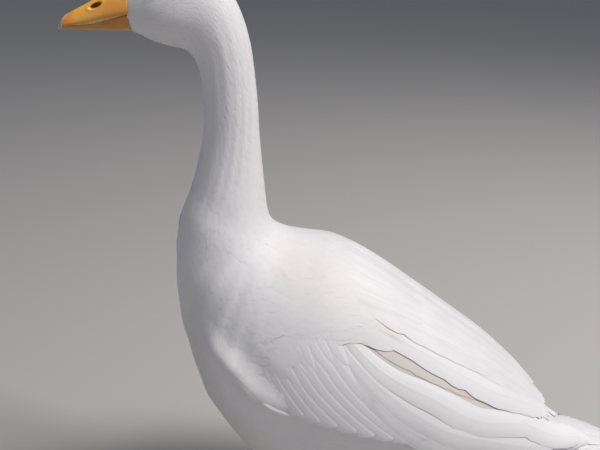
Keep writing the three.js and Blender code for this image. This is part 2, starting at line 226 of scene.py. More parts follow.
def body_form(at, around, out=0.0):
    """The feathered outline of tail, trunk, neck and head."""
    return sectioned(BODY, at, around, out)


def wing_hull(at, around, out=0.0):
    """The outline round both folded wings."""
    return sectioned(HULL, at, around, out)


def plumpness(at, around):
    """How far the feathered outline swells off its plain form, in millimetres. On the face: a cheek, a brow,
    a hollow for the eye and a dip before it. Down the neck: shallow furrows that wind a little. On the
    breast: soft uneven clumps. On the flank: a fold that laps up over the front of the folded wing."""
    aside = np.abs(around)
    face = spots(
        at, around, (1.8, 19.3, 1.85, 0.9, 0.45), (1.3, 20.15, 0.78, 0.55, 0.18),
        (-1.6, 20.17, 1.22, 0.34, 0.26), (-1.1, 21.2, 1.25, 0.6, 0.4)
    )
    furrows = 0.22 * np.sin(17 * around + 1.9 * at + 1.6 * np.sin(3 * around + at))
    furrows = furrows * (0.65 + 0.35 * np.sin(2.3 * at + 4.1 * around))
    furrows = furrows * ease(at, 12.8, 14.0) * (1 - ease(at, 17.0, 18.4))
    clumps = np.sin(2.7 * at + 5.1 * aside) + np.sin(4.9 * at - 3.7 * aside + 1.0)
    clumps = clumps + np.sin(7.9 * at + 9.3 * aside)
    clumps = 0.45 * clumps * ease(at, 8.5, 10.0) * (1 - ease(at, 13.0, 14.5)) * ease(aside, 0.9, 1.5)
    fold_line = 1.66 + 0.06 * (at - 9.3) + 0.2 * np.maximum(at - 9.9, 0) ** 1.3
    fold_half = np.where(aside < fold_line, 0.12, 0.19)
    fold = 11.0 * np.exp(-(((aside - fold_line) / fold_half) ** 2) - ((at - 9.5) / 1.3) ** 4)
    return face + furrows + clumps + fold


def coat_form(at, around, out=0.0):
    """The feathered outline with the wings folded in: the wing hull on the upper side and the body below,
    eased into each other across the flank and over the rump."""
    share = ((1 - ease(np.abs(around), 1.30, 1.78)) * ease(at, 3.4, 5.6))[..., None]
    out = out + plumpness(at, around)
    return body_form(at, around, out) * (1 - share) + wing_hull(at, around, out) * share


# How deep the feathers are, in millimetres, at sections along the body.
COAT_DEPTH = [
    (0, 7), (2, 6), (3, 5), (8, 5), (12, 4.5), (13.5, 3.2), (16, 2.4), (18, 1.6), (20, 1), (22, 0.5)
]


def skin_form(at, around, out=0.0):
    """The skin: the feathered outline drawn in by the coat's depth at each section, and by more of it under
    the folded wings."""
    depth = np.interp(at, *np.transpose(COAT_DEPTH))
    tucked = 5.0 * ease(at, 3.4, 5.6) * (1 - ease(at, 8.6, 10.0)) * (1 - ease(np.abs(around), 1.3, 1.7))
    return coat_form(at, around, out - depth - tucked)


def new_piece(name, points, faces, finish):
    """A smooth mesh object from arrays: points is (n, 3) in metres, faces is (m, 3) of point numbers."""
    mesh = bpy.data.meshes.new(name)
    mesh.vertices.add(len(points))
    mesh.vertices.foreach_set("co", np.ascontiguousarray(points, np.float32).ravel())
    mesh.loops.add(faces.size)
    mesh.loops.foreach_set("vertex_index", np.ascontiguousarray(faces, np.int32).ravel())
    mesh.polygons.add(len(faces))
    mesh.polygons.foreach_set("loop_start", np.arange(0, faces.size, faces.shape[1], dtype=np.int32))
    mesh.polygons.foreach_set("use_smooth", np.ones(len(faces), bool))
    mesh.update(calc_edges=True)
    mesh.validate()
    mesh.materials.append(finish)
    piece = bpy.data.objects.new(name, mesh)
    bpy.context.scene.collection.objects.link(piece)
    return piece


def paint(piece, name, per_point):
    """A UV map for two numbers per point, or a colour attribute for three."""
    mesh = piece.data
    if per_point.shape[1] == 2:
        corners = np.zeros(len(mesh.loops), np.int32)
        mesh.loops.foreach_get("vertex_index", corners)
        layer = mesh.uv_layers.new(name=name)
        layer.data.foreach_set("uv", np.ascontiguousarray(per_point[corners], np.float32).ravel())
    else:
        layer = mesh.color_attributes.new(name, "FLOAT_COLOR", "POINT")
        rgba = np.column_stack([per_point, np.ones(len(per_point))])
        layer.data.foreach_set("color", np.ascontiguousarray(rgba, np.float32).ravel())


def tube_grid(ats, sides):
    """Place along and angle round, for rings with the same number of points."""
    return np.meshgrid(ats, np.linspace(-np.pi, np.pi, sides, endpoint=False), indexing="ij")


def tube_faces(rings, sides):
    """Four-cornered faces of a tube of rings, each with the same number of points."""
    first, side = np.meshgrid(np.arange(rings - 1) * sides, np.arange(sides), indexing="ij")
    after = (side + 1) % sides
    corners = [first + side, first + after, first + sides + after, first + sides + side]
    return np.stack(corners, -1).reshape(-1, 4)


def halved(quads):
    """Each four-cornered face as two triangles."""
    return np.concatenate([quads[:, [0, 1, 2]], quads[:, [0, 2, 3]]])


def closed_tube(surface, ats, sides, *more):
    """Points and triangles of a tube over a surface, closed at both ends by a point in each end's middle.
    What is more than the grid is handed to the surface."""
    points = surface(*tube_grid(ats, sides), *more).reshape(-1, 3)
    side, last = np.arange(sides), len(points) - sides
    follow = (side + 1) % sides
    first_cap = np.stack([follow, side, np.full(sides, len(points))], -1)
    last_cap = np.stack([last + side, last + follow, np.full(sides, len(points) + 1)], -1)
    points = np.vstack([points, points[:sides].mean(0), points[last:].mean(0)])
    return points, np.concatenate([halved(tube_faces(len(ats), sides)), first_cap, last_cap])


def with_ends(values, ends):
    """Values over a tube's grid, one row per point, and those of its two end points after them."""
    return np.vstack([values.reshape(-1, values.shape[-1]), ends])


def blend(first, second, share):
    """The first colour where share is 0 and the second where it is 1."""
    share = np.asarray(share)[..., None]
    return first * (1 - share) + np.asarray(second) * share


def plumage_colour(at, around):
    """Colour of the plumage at a place on the body: white, with a faint cream cast over the shoulders and
    the face, a cream over the flank's fold that is a painted warm highlight where the fold catches the
    light, small rosy flecks on the shoulders, a dusty tone low on the belly that is partly painted shade, a
    small dusty mark on the wing, and a tan streak of painted shade along the lip where the parting lies.
    Skin and feathers share it."""
    white, cream = np.array([0.845, 0.825, 0.830]), (0.815, 0.755, 0.690)
    rosy, dusty_shade = (0.70, 0.52, 0.48), (0.60, 0.53, 0.45)
    # The third cream spot, on the flank's fold, is a painted warm highlight where the fold catches the
    # light.
    band = spots(
        at, around, (0.50, 9.2, 0.52, 1.9, 0.30), (0.25, 21.8, 1.4, 0.5, 1.5), (0.35, 9.5, 1.70, 1.1, 0.16)
    )
    flecks = spots(
        at, around, (0.5, 10.25, 0.72, 0.16, 0.018), (0.5, 9.75, 0.66, 0.20, 0.015),
        (0.35, 9.15, 0.58, 0.14, 0.014)
    )
    # The second wing mark is a tan streak of painted shade on the lip, where the parting's shadow lies.
    marks = spots(at, around, (0.35, 6.71, 1.22, 0.05, 0.035), (0.6, 6.62, 0.70, 0.26, 0.024))
    # Low on the belly: a dusty tone that is also painted shade.
    dust_and_shade = 0.40 * ease(np.abs(around), 1.8, 2.4) * (1 - ease(at, 10.2, 12.4)) + marks
    return blend(blend(blend(white, cream, band), rosy, flecks), dusty_shade, dust_and_shade)


def unwrap(at, around):
    """Place on the skin's unwrap: round the body across, tail to bill upwards."""
    return np.stack([0.02 + 0.76 * (around / (2 * np.pi) + 0.5), 0.02 + 0.96 * at / AT_BILL], -1)


def add_node(shader, kind, inputs):
    """A new node in the shader's material, with its inputs fed."""
    node = shader.id_data.nodes.new("ShaderNode" + kind)
    feed(node, inputs)
    return node


def painted(shader, layer):
    """Output of the colours painted on a piece in a layer."""
    node = add_node(shader, "VertexColor", {})
    node.layer_name = layer
    return node.outputs["Color"]


def mapped(shader, layer):
    """Output of a piece's own map."""
    node = add_node(shader, "UVMap", {})
    node.uv_map = layer
    return node.outputs["UV"]


def mixed(shader, blending, share, first, second):
    """Output of two colours mixed."""
    node = add_node(shader, "Mix", {})
    node.data_type = "RGBA"
    node.blend_type = blending
    feed(node, {0: share, 6: first, 7: second})
    return node.outputs[2]


def feather_finish(name, barb_spacing, barb_depth):
    """Feather vane: soft white, with fine slanting barbs as bump along the vane's own map."""
    material, shader = new_finish(name, {
        "Roughness": 0.62, "Sheen Weight": 0.25, "Sheen Roughness": 0.5, "Subsurface Weight": 0.12,
        "Subsurface Radius": (0.004, 0.004, 0.004), "Subsurface Scale": 1.0
    })
    barbs = add_node(shader, "TexWave", {
        "Vector": mapped(shader, "vane"), "Scale": 1.0 / barb_spacing, "Distortion": 0.5, "Detail": 1.0,
        "Detail Scale": 2.0
    }).outputs["Fac"]
    bump = add_node(shader, "Bump", {"Strength": 0.3, "Distance": barb_depth, "Height": barbs})
    streak = add_node(shader, "MapRange", {"Value": barbs, "To Min": 0.98, "To Max": 1.01})
    colour = mixed(shader, "MULTIPLY", 1.0, painted(shader, "plumage"), streak.outputs["Result"])
    feed(shader, {"Base Color": colour, "Normal": bump.outputs["Normal"]})
    return material


down_finish = feather_finish("body_feathers", 0.7, 0.00004)
quill_finish = feather_finish("quill_feathers", 0.9, 0.00010)
skin_finish, skin_shader = new_finish("skin", {"Roughness": 0.8})
feed(skin_shader, {"Base Color": painted(skin_shader, "plumage")})

SKIN_START, SKIN_RINGS, SKIN_SIDES = 1.5, 260, 120
skin_rings = np.linspace(SKIN_START, AT_BILL, SKIN_RINGS)
skin = new_piece("skin", *closed_tube(skin_form, skin_rings, SKIN_SIDES), skin_finish)
paint(skin, "plumage", with_ends(plumage_colour(*tube_grid(skin_rings, SKIN_SIDES)), [[0.8] * 3] * 2))
paint(skin, "OFBake", with_ends(unwrap(*tube_grid(skin_rings, SKIN_SIDES)), [[0.01] * 2] * 2))
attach(skin, "root")
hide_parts("trunk", "neck_lower", "neck_upper", "head", "tail")

# ------------------------ drumsticks
# The feathered part of each leg: a tapering muscle from the hip, buried in the flank, down to the ankle.
# It is one with the skin.
HIP, ANKLE, BALL = np.array([64.0, 60, 172]), np.array([57.0, 112, 106]), np.array([55.0, 90, 9])
THIGH, KNOB = 45.0, 9.6
THIGH_COAT = 3.0


def limb_front(start, end):
    """Direction square to a limb in the upright plane, for one that hardly leans sideways."""
    return unit(np.cross(unit(end - start), [1.0, 0, 0]))


def stepped(way, by):
    """A step along a direction for each distance in an array."""
    return np.asarray(way, float) * by[..., None]


def thigh_form(at, around, out=0.0):
    """The left drumstick's feathered outline, from 0 at the ankle to 8 at the hip: rings square to the bone,
    whose radius eases from the thigh's to the ankle's, is four fifths of that sideways, and closes in a dome
    inside the flank."""
    along = 1 - at / 8
    radius = THIGH + (KNOB + 3 - THIGH) * ease(along, 0.1, 1.0)
    radius = radius * np.sqrt(np.clip(1 - (np.maximum(at - 3.5, 0) / 4.6) ** 2, 0.03, 1))
    centre = HIP + stepped(ANKLE - HIP, 0.885 * along)
    side = stepped([1, 0, 0], (radius * 0.82 + out) * np.sin(around))
    return (centre + side - stepped(limb_front(HIP, ANKLE), (radius + out) * np.cos(around))) * MM + STAND


def mirrored(surface):
    """The same surface on the bird's right side, run the other way round so that it still faces outwards."""
    return lambda at, around, out=0.0: surface(at, -around, out) * np.array([-1.0, 1, 1])


def joined(whole, part):
    """Grows part into whole: the two closed meshes become one, and part's own object goes."""
    union = whole.modifiers.new("join", "BOOLEAN")
    union.operation = "UNION"
    union.solver = "EXACT"
    union.object = part
    bpy.context.view_layer.update()
    grown = bpy.data.meshes.new_from_object(whole.evaluated_get(bpy.context.evaluated_depsgraph_get()))
    whole.modifiers.clear()
    grown.name = whole.name
    whole.data = grown
    bpy.data.objects.remove(part)


THIGHS = {"left": thigh_form, "right": mirrored(thigh_form)}
THIGH_RINGS, THIGH_SIDES = np.linspace(0, 8, 40), 48
for side_name, surface in THIGHS.items():
    points, faces = closed_tube(surface, THIGH_RINGS, THIGH_SIDES, -THIGH_COAT)
    thigh = new_piece("thigh_" + side_name + "_skin", points, faces, skin_finish)
    paint(thigh, "plumage", np.full((len(points), 3), (0.79, 0.775, 0.76)))
    paint(thigh, "OFBake", 0.86 + 0.06 * (points[:, 1:] - points[:, 1:].mean(0)) / 0.08)
    joined(skin, thigh)
    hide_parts("thigh_" + side_name)

# ------------------------ body feathers
# Contour feathers: short curved vanes with frayed tips, each rooted in the skin and lying back over the
# next. They are tiny on the face, narrow on the neck, and broad on the breast and back.


def vane_grid(columns, rows):
    """Numbers for a thin closed vane: each row runs over the top from edge to edge and back underneath.
    Gives each point's place across (-1 to 1), its row, whether it is underneath, and the triangles, which
    are cut the same way above and below so that the two sides stay apart."""
    across = np.concatenate([np.linspace(-1, 1, columns), np.linspace(1, -1, columns)[1:-1]])
    ring = len(across)
    left = np.arange(columns - 1)
    root_cap = np.stack([left, left + 1, ring - left - 1, (ring - left) % ring], -1)
    tip_cap = root_cap[:, ::-1] + (rows - 1) * ring
    quads = np.concatenate([tube_faces(rows, ring)[:, ::-1], root_cap[:, ::-1], tip_cap[:, ::-1]])
    below = np.zeros(len(quads), bool)
    below[:ring * (rows - 1)] = np.tile(np.arange(ring) >= columns - 1, rows - 1)
    bottom = quads[below]
    faces = np.concatenate([halved(quads[~below]), bottom[:, [0, 1, 3]], bottom[:, [1, 2, 3]]])
    faces = faces[(faces != np.roll(faces, 1, 1)).all(1)]
    under = (np.arange(ring) >= columns).astype(float)
    return np.tile(across, rows), np.repeat(np.arange(rows), ring), np.tile(under, rows), faces


def crease_rims(piece, columns, rows):
    """Marks the rim of every vane sharp, so that its upper face is shaded flat right out to the edge."""
    mesh = piece.data
    ends = np.zeros(len(mesh.edges) * 2, np.int32)
    mesh.edges.foreach_get("vertices", ends)
    ring = 2 * columns - 2
    row, column = np.divmod(ends.reshape(-1, 2) % (ring * rows), ring)
    end_row = (row[:, 0] == row[:, 1]) & np.isin(row[:, 0], (0, rows - 1))
    side_edge = (column[:, 0] == column[:, 1]) & np.isin(column[:, 0], (0, columns - 1))
    sharp = mesh.attributes.new("sharp_edge", "BOOLEAN", "EDGE")
    sharp.data.foreach_set("value", (column < columns).all(1) & (end_row | side_edge))


def vane_piece(name, points, faces, columns, rows, finish, layers):
    """A piece of joined vanes, painted with its colour, its bake map and its barb map."""
    piece = new_piece(name, points, faces, finish)
    crease_rims(piece, columns, rows)
    for layer, per_point in zip(("plumage", "OFBake", "vane"), layers):
        paint(piece, layer, per_point)
    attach(piece, "root")
    return piece


PATCH = 0.003


def patch_map(root, place, share):
    """A vane's small patch of the bake map, beside its root's place on the skin's unwrap."""
    return root + PATCH * np.stack([place * 0.5, share - 0.5], -1)


def slopes(surface, at, around):
    """How a surface moves by at and by around, and its outward direction."""
    step = 0.01
    by_at = (surface(at + step, around) - surface(at - step, around)) / (2 * step)
    by_around = (surface(at, around + step) - surface(at, around - step)) / (2 * step)
    return by_at, by_around, unit(np.cross(by_at, by_around))


def moved(way, by_at, by_around):
    """How at and around change together per millimetre along a direction: the two slopes' shares in it."""
    aa, ar, rr = (by_at * by_at).sum(-1), (by_at * by_around).sum(-1), (by_around * by_around).sum(-1)
    wa, wr = (way * by_at).sum(-1), (way * by_around).sum(-1)
    return np.stack([wa * rr - wr * ar, wr * aa - wa * ar], -1) * (MM / (aa * rr - ar * ar))[..., None]


SPREAD_AT, SPREAD_AROUND = 260, 200
# A low-discrepancy sequence in two directions steps by one over the plastic number and over its square.
STEP_AT, STEP_AROUND = 0.7548776662, 0.5698402910


def running_total(values):
    """The running total of an array's last direction by the rule of trapezia, from 0."""
    return np.concatenate([0 * values[..., :1], np.cumsum((values[..., 1:] + values[..., :-1]) / 2, -1)], -1)


def spread(surface, spacing, at_range, around_range, keep=None):
    """Roots spread evenly over a part of a surface: a low-discrepancy sequence warped so that each place
    gets one root per square of its own spacing, in millimetres. keep, if given, is true for the wanted."""
    at, around = np.linspace(*at_range, SPREAD_AT), np.linspace(*around_range, SPREAD_AROUND)
    at_grid, around_grid = np.meshgrid(at, around, indexing="ij")
    grid = surface(at_grid, around_grid)
    cell = np.cross(np.gradient(grid, at, axis=0), np.gradient(grid, around, axis=1))
    density = np.linalg.norm(cell, axis=-1) / (spacing(at_grid) * MM) ** 2
    rank = running_total(density.mean(1) * (around[-1] - around[0]))
    number = np.arange(int(rank[-1] * (at[1] - at[0])))
    root_at = np.interp((0.5 + number * STEP_AT) % 1 * rank[-1], rank, at)
    position = (root_at - at[0]) / (at[-1] - at[0]) * (len(at) - 1)
    low = np.minimum(position.astype(int), len(at) - 2)
    part = (position - low)[:, None]
    ranks = running_total(density[low] * (1 - part) + density[low + 1] * part)
    ranks /= ranks[:, -1:]
    wanted = (0.5 + number * STEP_AROUND) % 1
    upper = np.clip((ranks < wanted[:, None]).sum(1), 1, len(around) - 1)
    below, above = ranks[number, upper - 1], ranks[number, upper]
    f = (wanted - below) / np.maximum(above - below, 1e-12)
    root_around = around[upper - 1] + f * (around[1] - around[0])
    kept = keep(root_at, root_around) if keep else slice(None)
    return root_at[kept], root_around[kept]


ROW_SHARES = np.array([0, 0.34, 0.62, 0.84, 1.0])


def body_feathers(name, surface, roots, turn, size, columns, fray, seed, tint, patch_at):
    """One joined mesh of contour feathers, which lie towards the tail turned by an angle. size gives length,
    half width, depth of root under the surface and height of tip over it, in millimetres; fray is how deep
    the tip is split, as a share. A feather climbs from its root in the first third of its length and then
    lies flat, a little higher towards its tip, so that it covers the ones behind it. Every second barb
    bundle at the tip is cut shorter."""
    rng = np.random.default_rng(seed)
    length, half_width, depth, stand = size
    count = len(roots[0])
    turn = (turn + rng.normal(0, 0.05, count))[:, None]
    by_at, by_around, normal = slopes(surface, *roots)
    back = -unit(by_at)
    aside = np.cross(normal, back)
    along = moved(back * np.cos(turn) + aside * np.sin(turn), by_at, by_around)
    across = moved(aside * np.cos(turn) - back * np.sin(turn), by_at, by_around)
    place, row, under, faces = vane_grid(columns, len(ROW_SHARES))
    share = ROW_SHARES[row]
    outline = np.sin(np.pi * (0.16 + 0.58 * share)) ** 0.55
    grown = rng.uniform(0.88, 1.12, count)
    column = np.rint((place + 1) / 2 * (columns - 1)).astype(int)
    splits = rng.uniform(0, 0.6, (count, columns))
    splits[:, np.abs(np.arange(columns) - columns // 2) % 2 == 1] += 0.4
    if columns > 3:
        splits[:, [0, -1]] = splits[:, [1, -2]]
    s = share * (1 - fray * splits[:, column]) * (1 - 0.28 * place**2)
    run = s * (length * grown)[:, None]
    wide = place * outline * (half_width * grown)[:, None]
    high = (stand * rng.uniform(0.9, 1.1, count))[:, None]
    lift = -depth[:, None] * (1 - ease(s, -0.1, 0.36)) + high * s
    arch = 0.035 * half_width[:, None] * (1 - place**2) * outline
    out = lift + arch - (0.05 + 0.012 * half_width[:, None]) * under * (1 - 0.6 * share)
    root = np.stack(roots, -1)[:, None]
    places = np.moveaxis(root + stepped(along[:, None], run) + stepped(across[:, None], wide), -1, 0)
    points = surface(*places, out).reshape(-1, 3)
    faces = (faces[None] + np.arange(count)[:, None, None] * len(place)).reshape(-1, 3)
    colour = tint(*places) * rng.uniform(0.985, 1.01, count)[:, None, None]
    patch = patch_map(patch_at(*roots)[:, None], place, share)
    barb = np.stack([np.abs(wide) - 0.5 * run, rng.uniform(0, 50, (count, 1)) + 0 * run], -1)
    layers = colour.reshape(-1, 3), patch.reshape(-1, 2), barb.reshape(-1, 2)
    vane_piece(name, points, faces, columns, len(ROW_SHARES), down_finish, layers)


# By section along the body: distance between roots, length, half width, and height of the tips.
FEATHER_SIZES = [
    (1.5, 7.8, 34, 8.0, 0.9),
    (3, 7.8, 36, 8.5, 0.9),
    (8, 7.0, 38, 8.8, 0.7),
    (12, 6.2, 32, 7.6, 0.6),
    (13.5, 4.7, 24, 5.2, 0.5),
    (15, 3.7, 18, 3.7, 0.4),
    (17, 3.2, 15, 2.7, 0.35),
    (18.5, 2.5, 12, 2.0, 0.25),
    (20, 1.9, 8.4, 1.35, 0.15),
    (22, 1.35, 5.4, 0.85, 0.08),
]
ROOT_DEPTH = 0.85
WING_EDGE = 1.68
EYE, EYE_RADIUS, LID_MARGIN = np.array([19.4, -130.0, 648.0]), 7.6, 0.45


def feather_sizes(at):
    """Spacing, length, half width and tip height of the feathers at places along the body."""
    return [np.interp(at, *np.transpose(FEATHER_SIZES)[[0, k]]) for k in (1, 2, 3, 4)]


def clear_of_eye(at, around):
    """False for feathers that would lie over the eye: their middle line passes within its lids."""
    root = coat_form(at, around)
    tip = unit(coat_form(at - 0.02, around) - root) * feather_sizes(at)[1][..., None] * MM
    clear = np.ones(np.shape(at), bool)
    for side in (-1, 1):
        eye = EYE * np.array([side, 1, 1]) * MM + STAND
        nearest = np.clip(((eye - root) * tip).sum(-1) / (tip * tip).sum(-1), 0, 1)
        clear &= np.linalg.norm(root + stepped(tip, nearest) - eye, axis=-1) > (EYE_RADIUS + LID_MARGIN) * MM
    return clear


def wing_slope(at, aside):
    """The lie over the shoulder of the wing: it turns down the side as it nears the wing's long feathers."""
    return 0.55 * ease(aside, 0.6, 1.1) * (1 - ease(at, 10.2, 11.6)) * (1 - ease(aside, 2.0, 2.4))


def wing_cover(around):
    """How far back the small feathers of the shoulder and the wing reach, at each angle from the back."""
    angles = [0, 20, 34, 46, 54, 64, 72, 90, 96]
    return np.interp(np.degrees(np.abs(around)), angles, [6.6, 6.9, 7.1, 7.15, 7.9, 9.0, 9.5, 9.3, 8.9])


def clear_of_shoulder(at, around):
    """True for roots ahead of the shoulder's feathers or below them."""
    return (at > 9.8) | (np.abs(around) > 1.66)


def hump(value, reach):
    """1 at 0, fading to 0 over reach on both sides, as a bell curve."""
    return np.exp(-((value / reach) ** 2))


def coat_piece(name, at_range, around_range, columns, fray, seed, keep=None, over_wing=False):
    """The contour feathers of one stretch of the body, between two sections and two angles. Those over the
    wing follow its slope, and their tips lie lower where the wing's long feathers begin."""
    at, around = roots = spread(coat_form, lambda at: feather_sizes(at)[0], at_range, around_range, keep)
    aside = np.abs(around)
    turn = 0.09 * np.sin(at * 7.0 + aside * 3.0)
    _, length, half_width, stand = feather_sizes(at)
    if over_wing:
        turn = turn + wing_slope(at, aside)
        ahead_of_edge = np.maximum(at - wing_cover(around), 0)
        stand = stand - 1.3 * hump(ahead_of_edge, 0.7) * (aside < WING_EDGE) * (at < 10.2)
    size = length, half_width, np.interp(at, *np.transpose(COAT_DEPTH)) * ROOT_DEPTH, stand
    body_feathers(
        name, coat_form, roots, turn * np.sign(around), size, columns, fray, seed, plumage_colour, unwrap
    )


ROUND, OVER_WINGS = (-np.pi, np.pi), (-WING_EDGE, WING_EDGE)
coat_piece("feathers_tail_root", (2.3, 4.2), ROUND, 7, 0.18, 11)
coat_piece("feathers_vent", (4.2, 6.4), ROUND, 7, 0.20, 12, lambda at, a: np.abs(a) > 1.42)
coat_piece("feathers_belly", (6.4, 9.0), ROUND, 7, 0.20, 13, lambda at, a: np.abs(a) > 1.46)
coat_piece("feathers_shoulder", (6.6, 9.8), OVER_WINGS, 7, 0.10, 14, lambda at, a: at > wing_cover(a), True)
coat_piece("feathers_breast", (9.0, 12.6), ROUND, 7, 0.12, 15, clear_of_shoulder, True)
coat_piece("feathers_neck_base", (12.6, 15.0), ROUND, 5, 0.15, 16)
coat_piece("feathers_neck", (15.0, 18.4), ROUND, 5, 0.25, 17)
coat_piece("feathers_head", (18.4, 20.6), ROUND, 5, 0.3, 18, clear_of_eye)
coat_piece("feathers_face", (20.6, 21.97), ROUND, 3, 0.3, 19, clear_of_eye)
THIGH_SPACING = 5.8
for seed, (side_name, surface) in enumerate(THIGHS.items(), 21):
    at, _ = roots = spread(surface, lambda at: THIGH_SPACING, (0.25, 7.3), ROUND)
    size = np.interp(at, [0, 5], [14, 28]), np.interp(at, [0, 5], [4.0, 7.4]), 2.8 + 0 * at, 0.7 + 0 * at
    body_feathers(
        "feathers_thigh_" + side_name, surface, roots, 0, size, 7, 0.3, seed,
        lambda at, a: np.broadcast_to((0.80, 0.775, 0.76), at.shape + (3,)),
        lambda at, a: np.stack([0.82 + 0.02 * a, 0.80 + 0.015 * at], -1)
    )

# ------------------------ folded wings
# Each wing lies closed along the body: long flight feathers underneath, broad inner ones over them, small
# coverts over their roots, and the shoulder's long feathers on top, with a parting under their lower edge.
# More of them cover the rump, and the flank's lap up over the wing. Each has a quill down its middle.
FLIGHT_ROWS, FLIGHT_COLUMNS = 46, 13
# A long feather's thickness, its shaft's height over the vane and how far one edge tucks, in millimetres.
THICK, SHAFT, TUCK = 0.5, 0.3, 0.45
# Painted shade, beige, for long feathers where they lie deep in the parting, and how much of it they get.
PARTING_SHADE, PARTING_SHADE_SHARE = (0.65, 0.57, 0.51), 0.75


def long_feather(surface, path, half, tip, camber, seed):
    """Points, colours, bake map and barb map of one long feather. path gives at, around in degrees and
    height in millimetres, from root to tip. The vane narrows to its root and rounds off over the last share
    tip; its barbs slant towards the tip; its edges droop by camber, the upper one tucked under the next
    feather, and are nicked in a few places. Where it lies deep in the parting it is painted a beige shade."""
    rng = np.random.default_rng(seed)
    place, row, under, _ = vane_grid(FLIGHT_COLUMNS, FLIGHT_ROWS)
    place = signed_power(place, 1.25)
    share = 1 - (1 - row / (FLIGHT_ROWS - 1)) ** 1.6
    path = np.array(path, float) + np.array([1, 1, 0]) * rng.normal(0, 0.008, (len(path), 3))
    path[:, 1] = np.radians(path[:, 1])
    steps = share * (len(path) - 1)
    at, around, out = np.moveaxis(through_rows(path, steps), -1, 0)

    def middle_line(steps):
        """Points of the surface under the feather's path."""
        return surface(*through_rows(path, steps)[:, :2].T)

    run_way = unit(middle_line(steps + 0.02) - middle_line(steps - 0.02))
    by_at, by_around, normal = slopes(surface, at, around)
    along, across = moved(run_way, by_at, by_around), moved(np.cross(normal, run_way), by_at, by_around)
    rounding = np.sqrt(np.clip(1 - np.clip((share - 1 + tip) / tip, 0, 1) ** 2.4, 0, 1))
    outline = (0.42 + 0.58 * ease(share, 0.0, 0.4)) * rounding
    nicks = np.ones((FLIGHT_ROWS, 2))
    for edge in (0, 1):
        nicked = rng.choice(np.arange(8, FLIGHT_ROWS - 3), 5, replace=False)
        nicks[nicked, edge] -= rng.uniform(0.04, 0.16, 5)
    nick = np.where(np.abs(place) > 0.6, nicks[row, (place > 0).astype(int)], 1)
    wide = place * half * outline * nick * (1 + 0.03 * np.sin(row * 1.7 + seed) * np.abs(place))
    slant = 0.55 * np.abs(wide) * (1 - share**3)
    shaft = SHAFT * (np.abs(place) < 0.02) * (1 - 0.8 * share)
    # How far the feather lies sunk over the back, which sets its share of painted shade.
    deep = ease(-out, 0.4, 0.8) * (1 - ease(np.abs(around), 0.92, 0.98)) * ease(at, 2.7, 3.3)
    tilt = -TUCK * place * np.sign(path[1, 1]) * outline
    out = out + shaft + tilt - camber * place**2 * outline - (THICK + 0.2 * (1 - share)) * under
    places = np.stack([at, around], -1) + stepped(across, wide)
    points = surface(*(places + stepped(along, slant)).T, out)
    pieces = np.diff(middle_line(np.linspace(0, len(path) - 1, 40)), axis=0)
    length = np.linalg.norm(pieces, axis=-1).sum() / MM
    barb = np.stack([share * length - 0.8 * np.abs(wide), np.full(len(place), rng.uniform(0, 50))], -1)
    colour = plumage_colour(*places.T) * rng.uniform(0.975, 1.015) * (1 - 0.05 * hump(place, 0.05))[:, None]
    patch = patch_map(unwrap(path[0, 0], path[0, 1]), place, share)
    return points, blend(colour, PARTING_SHADE, PARTING_SHADE_SHARE * deep), patch, barb


def feather_group(name, surface, feathers, seed, replaced=None):
    """One joined mesh of long feathers; each is (path, half width, rounded share of tip, camber)."""
    made = [long_feather(surface, *feather, seed + 7 * k) for k, feather in enumerate(feathers)]
    points, *layers = map(np.concatenate, zip(*made))
    place, _, _, faces = vane_grid(FLIGHT_COLUMNS, FLIGHT_ROWS)
    faces = np.concatenate([faces + k * len(place) for k in range(len(made))])
    piece = vane_piece(
        name, points, faces, FLIGHT_COLUMNS, FLIGHT_ROWS, quill_finish, layers
    )
    if replaced:
        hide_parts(replaced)


def row_of(first, last, count, *shape):
    """Feathers of one shape whose paths ease from the first one's to the last one's."""
    return [(path, *shape) for path in np.linspace(first, last, count)]


def shoulder_feathers():
    """The scapulars, in four lanes that draw in towards the tail, from the rear of each lane forwards."""
    feathers = []
    for lane, (root_around, tip_around) in enumerate(((3, 4), (11, 10), (19, 16), (27, 22))):
        for back in np.arange(6) / 5:
            start = 8.6 - 3.3 * back - 0.12 * (lane % 2)
            end = start - 2.5 + (4.8 - start) * back**1.5
            level = 1.1 - 0.5 * back
            path = [
                (start, root_around + 3, -3.0), (start * 0.62 + end * 0.38, root_around + 2, level),
                (start * 0.28 + end * 0.72, (root_around + tip_around) / 2 + 2, level + 0.4),
                (end, tip_around + 2, level + 0.4 - 1.8 * back**2)
            ]
            feathers.append((path, 14.0, 0.26, 1.3))
    return feathers[::-1]


def rump_feathers(ats, heights, drawn_in, angles):
    """A row of feathers over the rump at some angles, by its sections and heights from root to tip. The
    tips are drawn in towards the middle."""
    feathers = []
    for a in angles:
        path = [[at, a, height] for at, height in zip(ats, heights)]
        path[3][0] += 0.012 * a
        path[3][1] *= drawn_in
        feathers.append((path, 13, 0.34, 1.5))
    return feathers


